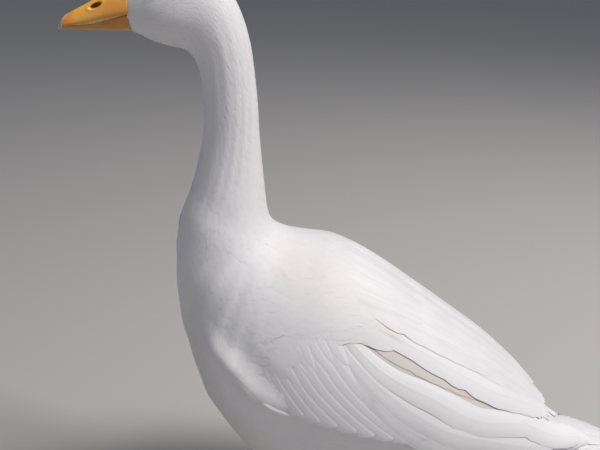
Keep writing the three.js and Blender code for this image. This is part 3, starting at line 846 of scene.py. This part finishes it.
def wing_feathers(side):
    """The feathers of one wing, group by group, from the deepest to the one that lies on top. The right wing
    is held a little lower at its tip. The parting's two feathers lie sunk between the tertials and the lip,
    which is the long straight edge over them; a second, upper lip lies over that."""
    primaries = row_of(
        [(4.8, 84, -16), (3.2, 88, -8), (1.9, 84, -6), (0.9, 76, -4.5)],
        [(4.8, 80, -12), (3.0, 77, -4), (1.5, 71, -2.5), (0.22, 62, -1.5)], 6, 9.5, 0.22, 1.0
    )
    secondaries = row_of(
        [(10.4, 72, -4.5), (9.35, 79.5, -1.0), (8.8, 84.3, -0.9), (8.3, 88.3, -1.0)],
        [(9.2, 44, -4.5), (7.9, 57, -1.0), (6.7, 70.5, -1.3), (5.4, 79.5, -1.4)], 9, 12.0, 0.16, 1.6
    )
    coverts = row_of(
        [(10.5, 68, -3.8), (9.9, 75, -0.7), (9.45, 81, -0.4), (9.1, 85, -1.2)],
        [(8.9, 38, -3.6), (8.3, 46, -0.6), (7.8, 54, -0.2), (7.35, 61, -0.8)], 11, 9, 0.4, 1.1
    )
    for k, (path, *_) in enumerate(coverts):
        path[3, :2] += 0.16 * np.sin(2.2 * k), 1.5 * np.cos(1.7 * k)
    tertials = [(np.array(path), 15, 0.17, 1.4) for path in (
        [(8, 50, -2.6), (6.9, 66, -0.9), (5.7, 76, -0.8), (4.4, 82, -0.9), (3.2, 83, -1.2), (2.3, 82, -1.8)],
        [(8.1, 48, -2.4), (7, 60, -0.4), (5.9, 67.5, 0.1), (4.7, 72.5, 0.2), (3.3, 73, 0), (1.8, 68, -0.4)],
        [(8.2, 43, -2.6), (6.8, 56.2, 0.4), (5.5, 58.6, 0.9), (4.2, 62.5, 0.9), (3, 54, 1),
         (1.9, 54.5, 0.8), (0.8, 53, 0.3)]
    )]
    parting = [
        ([(8.4, 41, -3.6), (7.3, 44, -1.8), (6.2, 45.5, -1), (5.2, 45, -0.9), (4, 44, -0.8)], 12, 0.2, 0.3),
        ([(8.2, 48, -4), (7, 50.5, -1.9), (5.7, 51, -1.4), (4.4, 50, -1.1), (3, 47, -0.7)], 14, 0.2, 0.4)
    ]
    lip = [(8.5, 37, -3.6), (7.1, 40.5, -0.2), (6, 39.7, 0.6), (5, 41, 0.9), (4, 42.5, 1.1), (3.1, 37, 1.3),
           (2.2 if side > 0 else 2.6, 31, 1.4)]
    upper_lip = [(8.7, 22, -2), (7.2, 31, 1), (5.9, 30.3, 1.4), (4.7, 28, 1.1), (3.3, 25, 0.8)]
    scapulars = rump_feathers((4.8, 3.8, 2.9, 1.85), (-3.5, -2.4, -1.8, -5.0), 0.9, (36, 28, 20, 12, 4))
    scapulars += shoulder_feathers() + [(lip, 14.5, 0.20, 1.0), (upper_lip, 13.5, 0.30, 1.1)]
    scapulars += rump_feathers((4.4, 3.4, 2.5, 1.58), (-6.0, -5.0, -5.4, -11.0), 0.86, (40, 32, 24, 16, 8))
    scapulars += rump_feathers((3.6, 2.9, 2.2, 1.3), (-12.0, -11.0, -11.5, -18.0), 0.84, (28, 18, 8))
    if side < 0:
        for path, *_ in primaries:
            path *= [[1, 1, 1], [1, 1.10, 1], [1, 1.14, 1], [1, 1.14, 1]]
            path[:, 0] += 0.5
        for path, *_ in primaries + tertials:
            path[:, 2] -= 8.0 * np.maximum(3.3 - path[:, 0], 0) ** 1.3
    return {
        "primaries": primaries, "secondaries": secondaries, "coverts": coverts,
        "tertials": tertials[:2] + parting + tertials[2:], "scapulars": scapulars
    }


def on_side(side, feathers):
    """Left-hand feathers on the bird's left (1) or right (-1)."""
    return [(np.array(path) * np.array([1, side, 1]), *shape) for path, *shape in feathers]


STRAY = ([(9.15, 94.5, -2.0), (8.85, 93, 1.0), (8.5, 91.5, 2.3), (8.2, 90, 2.5)], 2.4, 0.30, 0.3)
for side_name, side, seed in (("left", 1, 100), ("right", -1, 500)):
    for number, (group, feathers) in enumerate(wing_feathers(side).items()):
        name = group + "_feathers_" + side_name
        feather_group(name, wing_hull, on_side(side, feathers), seed + 60 * number, group + "_" + side_name)
    flank = row_of(
        [(10.8, 124, -2), (10.3, 117, 0.6), (9.7, 115, 0.9), (9.08, 113, 0.7)],
        [(10.6, 108, -2), (9.9, 99, 0.6), (9.1, 95, 0.9), (8.2, 93, 0.7)], 5, 9.0, 0.34, 1.2
    )
    feather_group("flank_feathers_" + side_name, coat_form, on_side(side, flank + [STRAY]), seed + 400)

# ------------------------ tail
# Sixteen stiff feathers in a shallow fan, the middle pair on top, over a firm root of flesh. Their bases lie
# under the small feathers of the rump.
TAIL_FEATHERS, TAIL_LAYER = 16, 0.28
FAN_DEPTH, FAN_DROOP = 26.0, 13.0


def tail_fan(at, around, out=0.0):
    """The tail's outline: the body form with corners drawn back and sides that hang towards the end."""
    point = body_form(at, around, out)
    along = np.clip(1 - at / TAIL_ROOT, 0, 1)
    aside = (point[..., 0] / MM / BODY[0][4]) ** 2
    drawn = np.stack([0 * along, -FAN_DEPTH * along**2 * aside, -FAN_DROOP * along * aside], -1)
    return point + drawn * MM


tail_feathers = []
for number in range(TAIL_FEATHERS):
    lateral = 2 * number / (TAIL_FEATHERS - 1) - 1
    layer = 2 * number - 15 if number > 7 else 14 - 2 * number
    low = -TAIL_LAYER * layer
    tip_around, root_around = np.degrees(np.arcsin(lateral * 0.80)), np.degrees(np.arcsin(lateral * 0.62))
    path = [
        (3.0, root_around, low - 2.5), (2.0, root_around, low - 0.6),
        (1.0, (tip_around + root_around) / 2, low), (0.02, tip_around, low)
    ]
    tail_feathers.append((path, 11.0, 0.16, 0.8))
feather_group("tail_feathers", tail_fan, tail_feathers, 900, "tail")

tail_coverts = []
for middle, count, reach in ((0, 15, 100), (180, 13, 80)):
    for number in sorted(range(count), key=lambda n: -abs(n - (count - 1) / 2)):
        lateral = 2 * number / (count - 1) - 1
        around = middle + reach * lateral
        start, end = 4.6 - 0.3 * (number % 2), 0.85 + 0.25 * (number % 2) + 0.4 * abs(lateral)
        low = -4.0 * min(abs(np.sin(np.radians(around))) / 0.8, 1) * (middle == 0)
        path = [
            (start, around, -3.0), (start - 1.1, around, 0.4), (end + 1.0, around, 0.9 + 0.5 * low),
            (end, around, 0.9 + low)
        ]
        tail_coverts.append((path, 11.0, 0.42, 0.8))
feather_group("tail_covert_feathers", tail_fan, tail_coverts, 950)

# ------------------------ eyes
# A dark brown eye set into the side of the head, with a thin bare rim whose outer edge tucks in under the
# small feathers round it.


def ramp(shader, share, stops):
    """Output of a colour ramp through stops, each a position and a colour."""
    node = add_node(shader, "ValToRGB", {"Fac": share})
    for number, (position, colour) in enumerate(stops):
        stop = node.color_ramp.elements[number] if number < 2 else node.color_ramp.elements.new(position)
        stop.position, stop.color = position, (*colour, 1)
    return node.outputs["Color"]


def noise(shader, place, scale, detail=2.0):
    """Output of a noise texture."""
    return add_node(shader, "TexNoise", {"Vector": place, "Scale": scale, "Detail": detail}).outputs["Fac"]


eye_finish, eye_shader = new_finish("eyeball", {
    "Roughness": 0.06, "Coat Weight": 1.0, "Coat Roughness": 0.02
})
iris_map = mapped(eye_shader, "iris")
off_gaze = add_node(eye_shader, "SeparateXYZ", {"Vector": iris_map}).outputs["Y"]
rings = ramp(eye_shader, off_gaze, [
    (0.34, (0.003, 0.003, 0.004)), (0.40, (0.050, 0.028, 0.018)), (0.62, (0.085, 0.050, 0.030)),
    (0.74, (0.020, 0.012, 0.010))
])
fibres = noise(eye_shader, iris_map, 9.0, 4.0)
feed(eye_shader, {"Base Color": mixed(eye_shader, "MULTIPLY", 0.5, rings, fibres)})

lid_finish, lid_shader = new_finish("eye_rim", {
    "Roughness": 0.55, "Subsurface Weight": 0.2, "Subsurface Radius": (0.002, 0.001, 0.0006)
})
lid_place = add_node(lid_shader, "TexCoord", {}).outputs["Object"]
lid_grain = noise(lid_shader, lid_place, 900.0)
lid_bump = add_node(lid_shader, "Bump", {"Strength": 0.4, "Distance": 0.0002, "Height": lid_grain})
lid_tones = ramp(lid_shader, lid_grain, [(0.3, (0.62, 0.30, 0.16)), (0.7, (0.80, 0.48, 0.28))])
feed(lid_shader, {"Base Color": lid_tones, "Normal": lid_bump.outputs["Normal"]})

EYE_RINGS, EYE_SIDES = np.linspace(0.03, np.pi - 0.03, 40), 48
RIM_RINGS, RIM_SIDES = np.linspace(0, 2 * np.pi, 20, endpoint=False), 72
BULGE = 0.35
# The way the left eye looks, and how far the lids open round that, in radians.
GAZE, OPENING = np.array([0.955, -0.22, 0.20]), 0.70


def eye_point(off_gaze, turn, radius, side):
    """Point of a ball round an eye's middle: off_gaze from the way it looks, turn round that."""
    gaze = unit(GAZE * [side, 1, 1])
    level = unit(np.cross([0.0, 0, 1], gaze))
    rim = stepped(level, np.cos(turn)) + stepped(np.cross(gaze, level), np.sin(turn))
    way = stepped(gaze, np.cos(off_gaze)) + stepped(rim, np.sin(off_gaze))
    return (EYE * np.array([side, 1, 1]) + stepped(way, radius)) * MM + STAND


def ball(off_gaze, turn, side):
    """The eyeball, whose clear front bulges by a third of a millimetre."""
    return eye_point(off_gaze, turn, EYE_RADIUS + BULGE * hump(off_gaze, 0.5), side)


def outward(points, faces):
    """The faces, turned over if the closed shape they make has its inside out."""
    corners = points[faces[:, :3]] - points.mean(0)
    volume = (corners[:, 0] * np.cross(corners[:, 1], corners[:, 2])).sum()
    return faces if volume > 0 else faces[:, ::-1]


for side_name, side in (("left", 1), ("right", -1)):
    points, faces = closed_tube(ball, EYE_RINGS, EYE_SIDES, side)
    eyeball = new_piece("eyeball_" + side_name, points, outward(points, faces), eye_finish)
    off_gaze, turn = tube_grid(EYE_RINGS, EYE_SIDES)
    paint(eyeball, "iris", with_ends(np.stack([turn * 0.5, off_gaze], -1), [[0, 0], [0, np.pi]]))
    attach(eyeball, "root")
    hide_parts("eye_" + side_name)

    section, turn = tube_grid(RIM_RINGS, RIM_SIDES)
    opening = OPENING + 0.06 * np.maximum(-np.sin(turn), 0) + 0.22 * np.abs(np.cos(turn)) ** 2.2
    opening = opening + 0.09 * np.maximum(-np.cos(turn), 0) ** 9
    rim_width = 0.085 + 0.02 * np.abs(np.cos(turn)) ** 4 + 0.004 * np.sin(turn * 23)
    skirt = 2 * np.maximum(np.cos(section), 0) * np.maximum(-np.sin(section), 0)
    off = opening + rim_width * (1 + np.cos(section)) + 0.2 * skirt
    proud = 0.65 * np.sin(section) * (0.8 + 0.2 * np.cos(section)) - 1.3 * skirt
    points = eye_point(off, turn, EYE_RADIUS + BULGE + proud, side).reshape(-1, 3)
    faces = tube_faces(len(RIM_RINGS) + 1, RIM_SIDES) % len(points)
    lids = new_piece("eye_rim_" + side_name, points, outward(points, faces), lid_finish)
    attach(lids, "root")

# ------------------------ bill
# Two horny mandibles under a thin, warm orange skin, with slit nostrils in the upper one, pale plates along
# its cutting edge and a hard greyish nail over the tip.
# y, height of the ridge, of the mouth line and of the underside, and half the width above and below it.
BILL = [
    (-160.4, 653.8, 625.5, 609.5, 17.7, 15.7),
    (-176.0, 646.0, 621.5, 609.0, 15.8, 13.8),
    (-190.0, 639.0, 618.0, 609.0, 14.0, 12.2),
    (-204.0, 631.5, 615.5, 609.0, 12.6, 10.8),
    (-216.0, 625.5, 614.0, 609.5, 11.2, 9.0),
    (-224.0, 620.5, 612.5, 609.5, 8.8, 6.4),
    (-229.5, 613.5, 610.0, 609.6, 4.0, 3.0),
]
NAIL_ROOT, MOUTH_PLATES = 0.76, 30
# The nostril's middle (y and height), half its length and height, and the cosine and sine of its slope.
NOSTRIL_Y, NOSTRIL_Z = -191.0, 631.5
NOSTRIL_LONG, NOSTRIL_TALL = 6.4, 2.3
NOSTRIL_COS, NOSTRIL_SIN = 0.92, 0.39


def bill_section(along):
    """The numbers of BILL between its rows, from the face (0) to the tip (1)."""
    return np.moveaxis(through_rows(BILL, along * (len(BILL) - 1)), -1, 0)


def off_nostril(y, z):
    """How far a place on the bill's side is from the nostril's middle, squared: 1 at the slit's edge."""
    near = ((y - NOSTRIL_Y) * NOSTRIL_COS + (z - NOSTRIL_Z) * NOSTRIL_SIN) / NOSTRIL_LONG
    off = ((z - NOSTRIL_Z) * NOSTRIL_COS - (y - NOSTRIL_Y) * NOSTRIL_SIN) / NOSTRIL_TALL
    return near**2 + off**2


def upper_mandible(along, around, out=0.0):
    """The upper mandible: along runs from the face (0) to the tip (1), around from the ridge round the left.
    Above the mouth line each section is an arch; below, it is a flat palate. The edge is drawn up a little
    in the middle of its length, and a smooth hollow holds each nostril."""
    y, ridge, mouth, _, half, _ = bill_section(along)
    up = np.cos(around)
    x = half * signed_power(np.sin(around), np.where(up > 0, 0.85, 1.0))
    grin = 1.5 * hump(along - 0.30, 0.20) * np.sin(around) ** 8
    z = mouth + grin + (ridge - mouth) * np.maximum(up, 0) ** 0.9 - 0.8 * np.maximum(-up, 0) ** 0.5
    scale = 1 + out / np.maximum(half, 1)
    middle = (ridge + mouth) / 2
    reach = off_nostril(y, z)
    pit = (3.4 * (1 - ease(reach, 0.45, 1.25)) - 0.5 * hump(reach - 1.7, 0.7)) * (up > 0)
    x = x * scale - np.sign(x) * np.minimum(pit, np.abs(x) * 0.5)
    z = middle + (z - middle) * scale
    return np.stack([x, y, z], -1) * MM + STAND


def lower_mandible(along, around):
    """The lower mandible: a shallow trough closed by a flat floor just under the mouth line."""
    y, _, mouth, under, _, half = bill_section(along)
    roof = mouth - 0.5
    under = np.minimum(under, roof - 0.6)
    x = half * signed_power(np.sin(around), 0.85)
    z = roof + (under - roof) * np.maximum(-np.cos(around), 0) ** 0.8
    return np.stack([x, y, z], -1) * MM + STAND


def horn_finish(name, dull, bright, deep, roughness, scale):
    """Bill skin or horn: two tones in soft cloudy patches, darker where the piece's painted shade says so,
    with a fine pebbled grain."""
    material, shader = new_finish(name, {
        "Roughness": roughness, "Subsurface Weight": 0.15, "Subsurface Radius": (0.003, 0.0012, 0.0005),
        "Coat Weight": 0.15, "Coat Roughness": 0.35
    })
    place = add_node(shader, "TexCoord", {}).outputs["Object"]
    tones = ramp(shader, noise(shader, place, scale, 6.0), [(0.32, dull), (0.68, bright)])
    shade = add_node(shader, "SeparateColor", {"Color": painted(shader, "shade")}).outputs["Red"]
    wrinkles = add_node(shader, "TexVoronoi", {"Vector": place, "Scale": 420.0})
    wrinkles.feature = "DISTANCE_TO_EDGE"
    grain = noise(shader, place, 1400.0, 3.0)
    grain = add_node(shader, "Bump", {"Strength": 0.35, "Distance": 0.00015, "Height": grain})
    bump = add_node(shader, "Bump", {
        "Strength": 0.25, "Distance": 0.0003, "Height": wrinkles.outputs["Distance"],
        "Normal": grain.outputs["Normal"]
    })
    colour = mixed(shader, "MIX", shade, tones, (*deep, 1))
    feed(shader, {"Base Color": colour, "Normal": bump.outputs["Normal"]})
    return material


bill_finish = horn_finish("bill_skin", (0.95, 0.36, 0.035), (1, 0.52, 0.08), (0.16, 0.03, 0.015), 0.38, 45)
nail_finish = horn_finish("bill_nail", (0.50, 0.41, 0.33), (0.72, 0.62, 0.5), (0.25, 0.18, 0.12), 0.32, 90)
tooth_finish = horn_finish(
    "mouth_plates", (0.55, 0.36, 0.2), (0.78, 0.62, 0.42), (0.2, 0.1, 0.05), 0.45, 300
)


def shaded_piece(name, points, faces, dark, finish, slot, *replaced):
    """A piece of horn or bare skin, painted with how dark each point is."""
    piece = new_piece(name, points, faces, finish)
    paint(piece, "shade", np.repeat(dark[:, None], 3, 1))
    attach(piece, "root")
    if replaced:
        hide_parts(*replaced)


def horn_piece(name, surface, alongs, sides, finish, slot, shade, *replaced, more=()):
    """A closed tube of horn over a surface. shade gives how dark each place is; more goes to the surface."""
    points, faces = closed_tube(surface, alongs, sides, *more)
    dark = np.append(shade(*tube_grid(alongs, sides)), [0.0, 0.0])
    shaded_piece(name, points, outward(points, faces), dark, finish, slot, *replaced)


def upper_dark(along, around):
    """How dark the upper mandible is painted: painted shade fully in the nostrils, and a little along the
    cutting edge where the mandibles meet.
    """
    _, y, z = np.moveaxis((upper_mandible(along, around) - STAND) / MM, -1, 0)
    nostril = 1 - ease(off_nostril(y, z), 0.35, 1.0)
    edge = 0.45 * hump(np.abs(around) - np.pi / 2, 0.10)
    return np.clip(nostril * (np.cos(around) > 0) + edge, 0, 1)


def nail_plate(along, around):
    """The nail: a shield laid over the tip, whose rear edge bulges back along the ridge and whose rim tucks
    into the mandible under it."""
    turn = np.abs((around + np.pi) % (2 * np.pi) - np.pi)
    start = NAIL_ROOT - 0.05 + 0.12 * ease(turn, 0.2, 1.5)
    rim = 0.75 * (1 - ease(along, 0.0, 0.12))
    return upper_mandible(start + (1.0 - start) * along, around, 0.55 - rim)


def tooth_strip(along, around, side):
    """The row of small plates along the mouth: a thin bar inside the lips, ridged by a wave."""
    y, _, mouth, _, half, _ = bill_section(0.04 + 0.62 * along)
    ridge = 0.35 * np.sin(along * 2 * np.pi * MOUTH_PLATES)
    swell = 0.4 + 0.6 * np.sin(np.pi * np.clip(along, 0.02, 0.98))
    x = half - 1.5 + (0.9 + ridge * 0.6) * np.cos(around)
    z = mouth + 0.2 + 1.5 * swell * np.sin(around)
    return np.stack([side * x, y, z], -1) * MM + STAND


upper_rings = 1 - (1 - np.linspace(0, 0.999, 130)) ** 1.1
horn_piece(
    "bill_upper_mandible", upper_mandible, upper_rings, 120, bill_finish, "bill", upper_dark, "bill_upper"
)
# The lower mandible is painted evenly darker and redder than the upper: its darkness is painted shade.
horn_piece(
    "bill_lower_mandible", lower_mandible, np.linspace(0, 0.975, 70), 64, bill_finish, "bill",
    lambda along, around: 0.48 + 0 * along, "bill_lower"
)
# The nail is painted darker at its rear rim, where it tucks into the mandible: painted shade.
horn_piece(
    "bill_nail_plate", nail_plate, np.linspace(0, 1, 40) ** 1.3, 64, nail_finish, "nail",
    lambda along, around: 0.35 * (1 - ease(along, 0, 0.15)), "bill_nail"
)
for side_name, side in (("left", 1), ("right", -1)):
    horn_piece(
        "mouth_plates_" + side_name, tooth_strip, np.linspace(0, 1, 240), 10, tooth_finish, "bill",
        lambda along, around: 0 * along, more=(side,)
    )

# ------------------------ shanks and feet
# Bare legs of orange, scaly skin: a row of shields down the front, small round scales elsewhere, and three
# webbed toes and a small hind toe that stand flat on the floor. Each toe ends in a blunt horn claw.
# The shank's half width, the shields down its front, and the length of one across a toe, in millimetres.
SHANK, SHIELDS, TOE_SHIELD = 7.3, 15, 3.4
# The way each toe points, in degrees out from straight ahead, its length, half width and claw's length.
TOES = {
    "inner": (-23, 72, 4.8, 9), "middle": (4, 92, 5.4, 11), "outer": (30, 84, 4.8, 9),
    "hind": (172, 22, 3.2, 6)
}
UNDER_BALL = BALL * [1, 1, 0]
SCALLOP, SOLE = 13.0, 2.2
WEB_COLUMNS, WEB_ROWS = 61, 34

leg_finish = horn_finish("leg_skin", (0.74, 0.24, 0.045), (0.88, 0.38, 0.09), (0.30, 0.09, 0.03), 0.5, 60.0)
claw_finish = horn_finish("claw_horn", (0.24, 0.18, 0.13), (0.46, 0.37, 0.28), (0.1, 0.07, 0.05), 0.4, 200.0)


def dome(past, reach):
    """1 until past is above 0, and then down a quarter of a circle that would end at reach."""
    return np.where(past > 0, np.sqrt(np.clip(1 - (past / reach) ** 2, 0.02, 1)), 1.0)


def shank_form(along, around):
    """From the ankle joint (0) to the ball of the foot (1): a round rod with a knuckle at the top, a small
    heel below, and shields across its front, each with a raised lower lip."""
    knuckle = (KNOB - SHANK) * (1 - ease(along, 0.04, 0.20)) * ease(along, -0.1, 0.05)
    heel = 2.2 * ease(along, 0.78, 1.0)
    turn = np.abs(around) / np.pi
    shield = 0.55 * ((along * SHIELDS) % 1) ** 1.5 * (1 - ease(turn, 0.28, 0.42))
    pebble = 0.22 * np.sin(along * 120) * np.sin(around * 11) * ease(turn, 0.30, 0.45)
    wide = (SHANK * 0.86 + knuckle * 0.7 + heel + shield + pebble) * dome(0.06 - along, 0.10)
    thick = (SHANK + knuckle + heel + shield + pebble) * dome(0.06 - along, 0.10)
    place = ANKLE + stepped(BALL - ANKLE, along) + stepped([1, 0, 0], wide * np.sin(around))
    place = place + stepped(limb_front(ANKLE, BALL), thick * np.cos(around))
    place[..., 2] = np.maximum(place[..., 2], 0.4)
    return place * MM + STAND


def over_floor(turn, ahead, aside, height):
    """Places over the floor, in millimetres: ahead of the ball of the foot in a direction turned outwards by
    some degrees from straight ahead, aside of that line, and up."""
    way = np.array([np.sin(np.radians(turn)), -np.cos(np.radians(turn)), 0.0])
    side = [-way[1], way[0], 0.0]
    place = UNDER_BALL + stepped(way, ahead) + stepped(side, aside) + stepped([0, 0, 1], height)
    return place * MM + STAND


def toe_form(along, around, turn, long, half, _):
    """One toe, from the ball of the foot to its end: flat below and level with the floor, round above,
    swollen at three joints and lower and narrower towards its end, with narrow shields across the top."""
    wide = half * (1 + 0.14 * np.cos(6 * np.pi * along)) * (1.15 - 0.53 * along) * dome(along - 0.94, 0.075)
    tall = wide * 1.5 * (1.25 - 0.40 * along)
    shield = 0.35 * ((along * long / TOE_SHIELD) % 1) ** 1.5 * np.maximum(np.cos(around), 0) ** 0.5
    height = np.maximum(0.0, tall * (0.42 + 0.58 * np.cos(around)) + shield)
    return over_floor(turn, long * along, wide * np.sin(around), height)


def claw_form(along, around, turn, long, half, length):
    """A claw: a cone that leaves the toe's end at half its width, arches a little and comes to a blunt
    point near the floor."""
    thick = half * 0.5
    radius = (thick + (0.5 - thick) * along**1.3) * dome(along - 0.9, 0.12)
    height = 0.6 + thick + 0.8 * np.sin(np.pi * along) - (thick - 0.5) * along + radius * np.cos(around)
    return over_floor(turn, long - 1.5 + (length + 1.5) * along, radius * 0.9 * np.sin(around), height)


def web_part():
    """The web between the three front toes: a thin skin whose edge is drawn back in a curve between toe tips
    and which sags into fine folds that run with the toes. Top and underside, joined round the rim. Gives its
    points and triangles."""
    s, w = np.meshgrid(np.linspace(0, 1, WEB_COLUMNS), np.linspace(0, 1, WEB_ROWS), indexing="ij")
    turns, reaches, *_ = zip(*(TOES[name] for name in ("inner", "middle", "outer")))
    turn = np.radians(np.interp(s, [0, 0.5, 1], turns))
    bay = np.sin(np.pi * ((s * 2) % 1))
    run = 4 + (np.interp(s, [0, 0.5, 1], reaches) - 5 - SCALLOP * bay - 4) * w
    rise = SOLE + 1.2 * (1 - w) + 0.35 * np.sin(s * 2 * np.pi * 13) * w * bay
    heights = rise * (1 - 0.5 * w**8), 0.25 * np.maximum(bay, 0) ** 0.5 * w
    points = np.stack([np.stack([np.sin(turn) * run, -np.cos(turn) * run, high], -1) for high in heights])
    points = (points.reshape(-1, 3) + UNDER_BALL) * MM + STAND
    i, j = np.meshgrid(np.arange(WEB_COLUMNS - 1), np.arange(WEB_ROWS - 1), indexing="ij")
    first = (i * WEB_ROWS + j).ravel()
    quads = np.stack([first, first + WEB_ROWS, first + WEB_ROWS + 1, first + 1], -1)
    number = np.arange(WEB_COLUMNS * WEB_ROWS).reshape(WEB_COLUMNS, WEB_ROWS)
    border = np.concatenate([number[0], number[1:, -1], number[-1, -2::-1], number[-2:0:-1, 0]])
    follow = np.roll(border, -1)
    rim = np.stack([border, follow, follow + number.size, border + number.size], -1)
    return points, halved(np.concatenate([quads, quads[:, ::-1] + number.size, rim]))


def limb_part(surface, alongs, sides, *more):
    """A closed tube over a limb's surface, facing outwards."""
    points, faces = closed_tube(surface, alongs, sides, *more)
    return points, outward(points, faces)


def leg_piece(name, parts, side, finish, slot, *replaced):
    """A piece of the left leg from its closed parts, or its mirror image for the right, darker low down."""
    starts = np.cumsum([0] + [len(points) for points, _ in parts])
    points = np.concatenate([points for points, _ in parts])
    faces = np.concatenate([faces + start for (_, faces), start in zip(parts, starts)])
    points = (points - STAND) * np.array([side, 1, 1]) + STAND
    dark = 0.35 * (1 - ease(points[:, 2] / MM, 0.0, 5.0))
    shaded_piece(name, points, faces[:, ::side], dark, finish, slot, *replaced)


upper_shank = limb_part(shank_form, np.linspace(-0.035, 0.885, 160), 48)
lower_shank = limb_part(shank_form, np.linspace(0.875, 1.04, 30), 48)
toes = [limb_part(toe_form, np.linspace(0, 1, 90), 28, *toe) for toe in TOES.values()]
claws = [limb_part(claw_form, np.linspace(0, 1, 24), 18, *toe) for toe in TOES.values()]
foot = [web_part(), lower_shank, *toes]
for side_name, side in (("left", 1), ("right", -1)):
    claw_names = ["claw_" + toe + "_" + side_name for toe in TOES]
    leg_piece("shank_scales_" + side_name, [upper_shank], side, leg_finish, "leg_skin", "shank_" + side_name)
    leg_piece("foot_web_" + side_name, foot, side, leg_finish, "leg_skin", "foot_" + side_name)
    leg_piece("claws_" + side_name, claws, side, claw_finish, "claw", *claw_names)
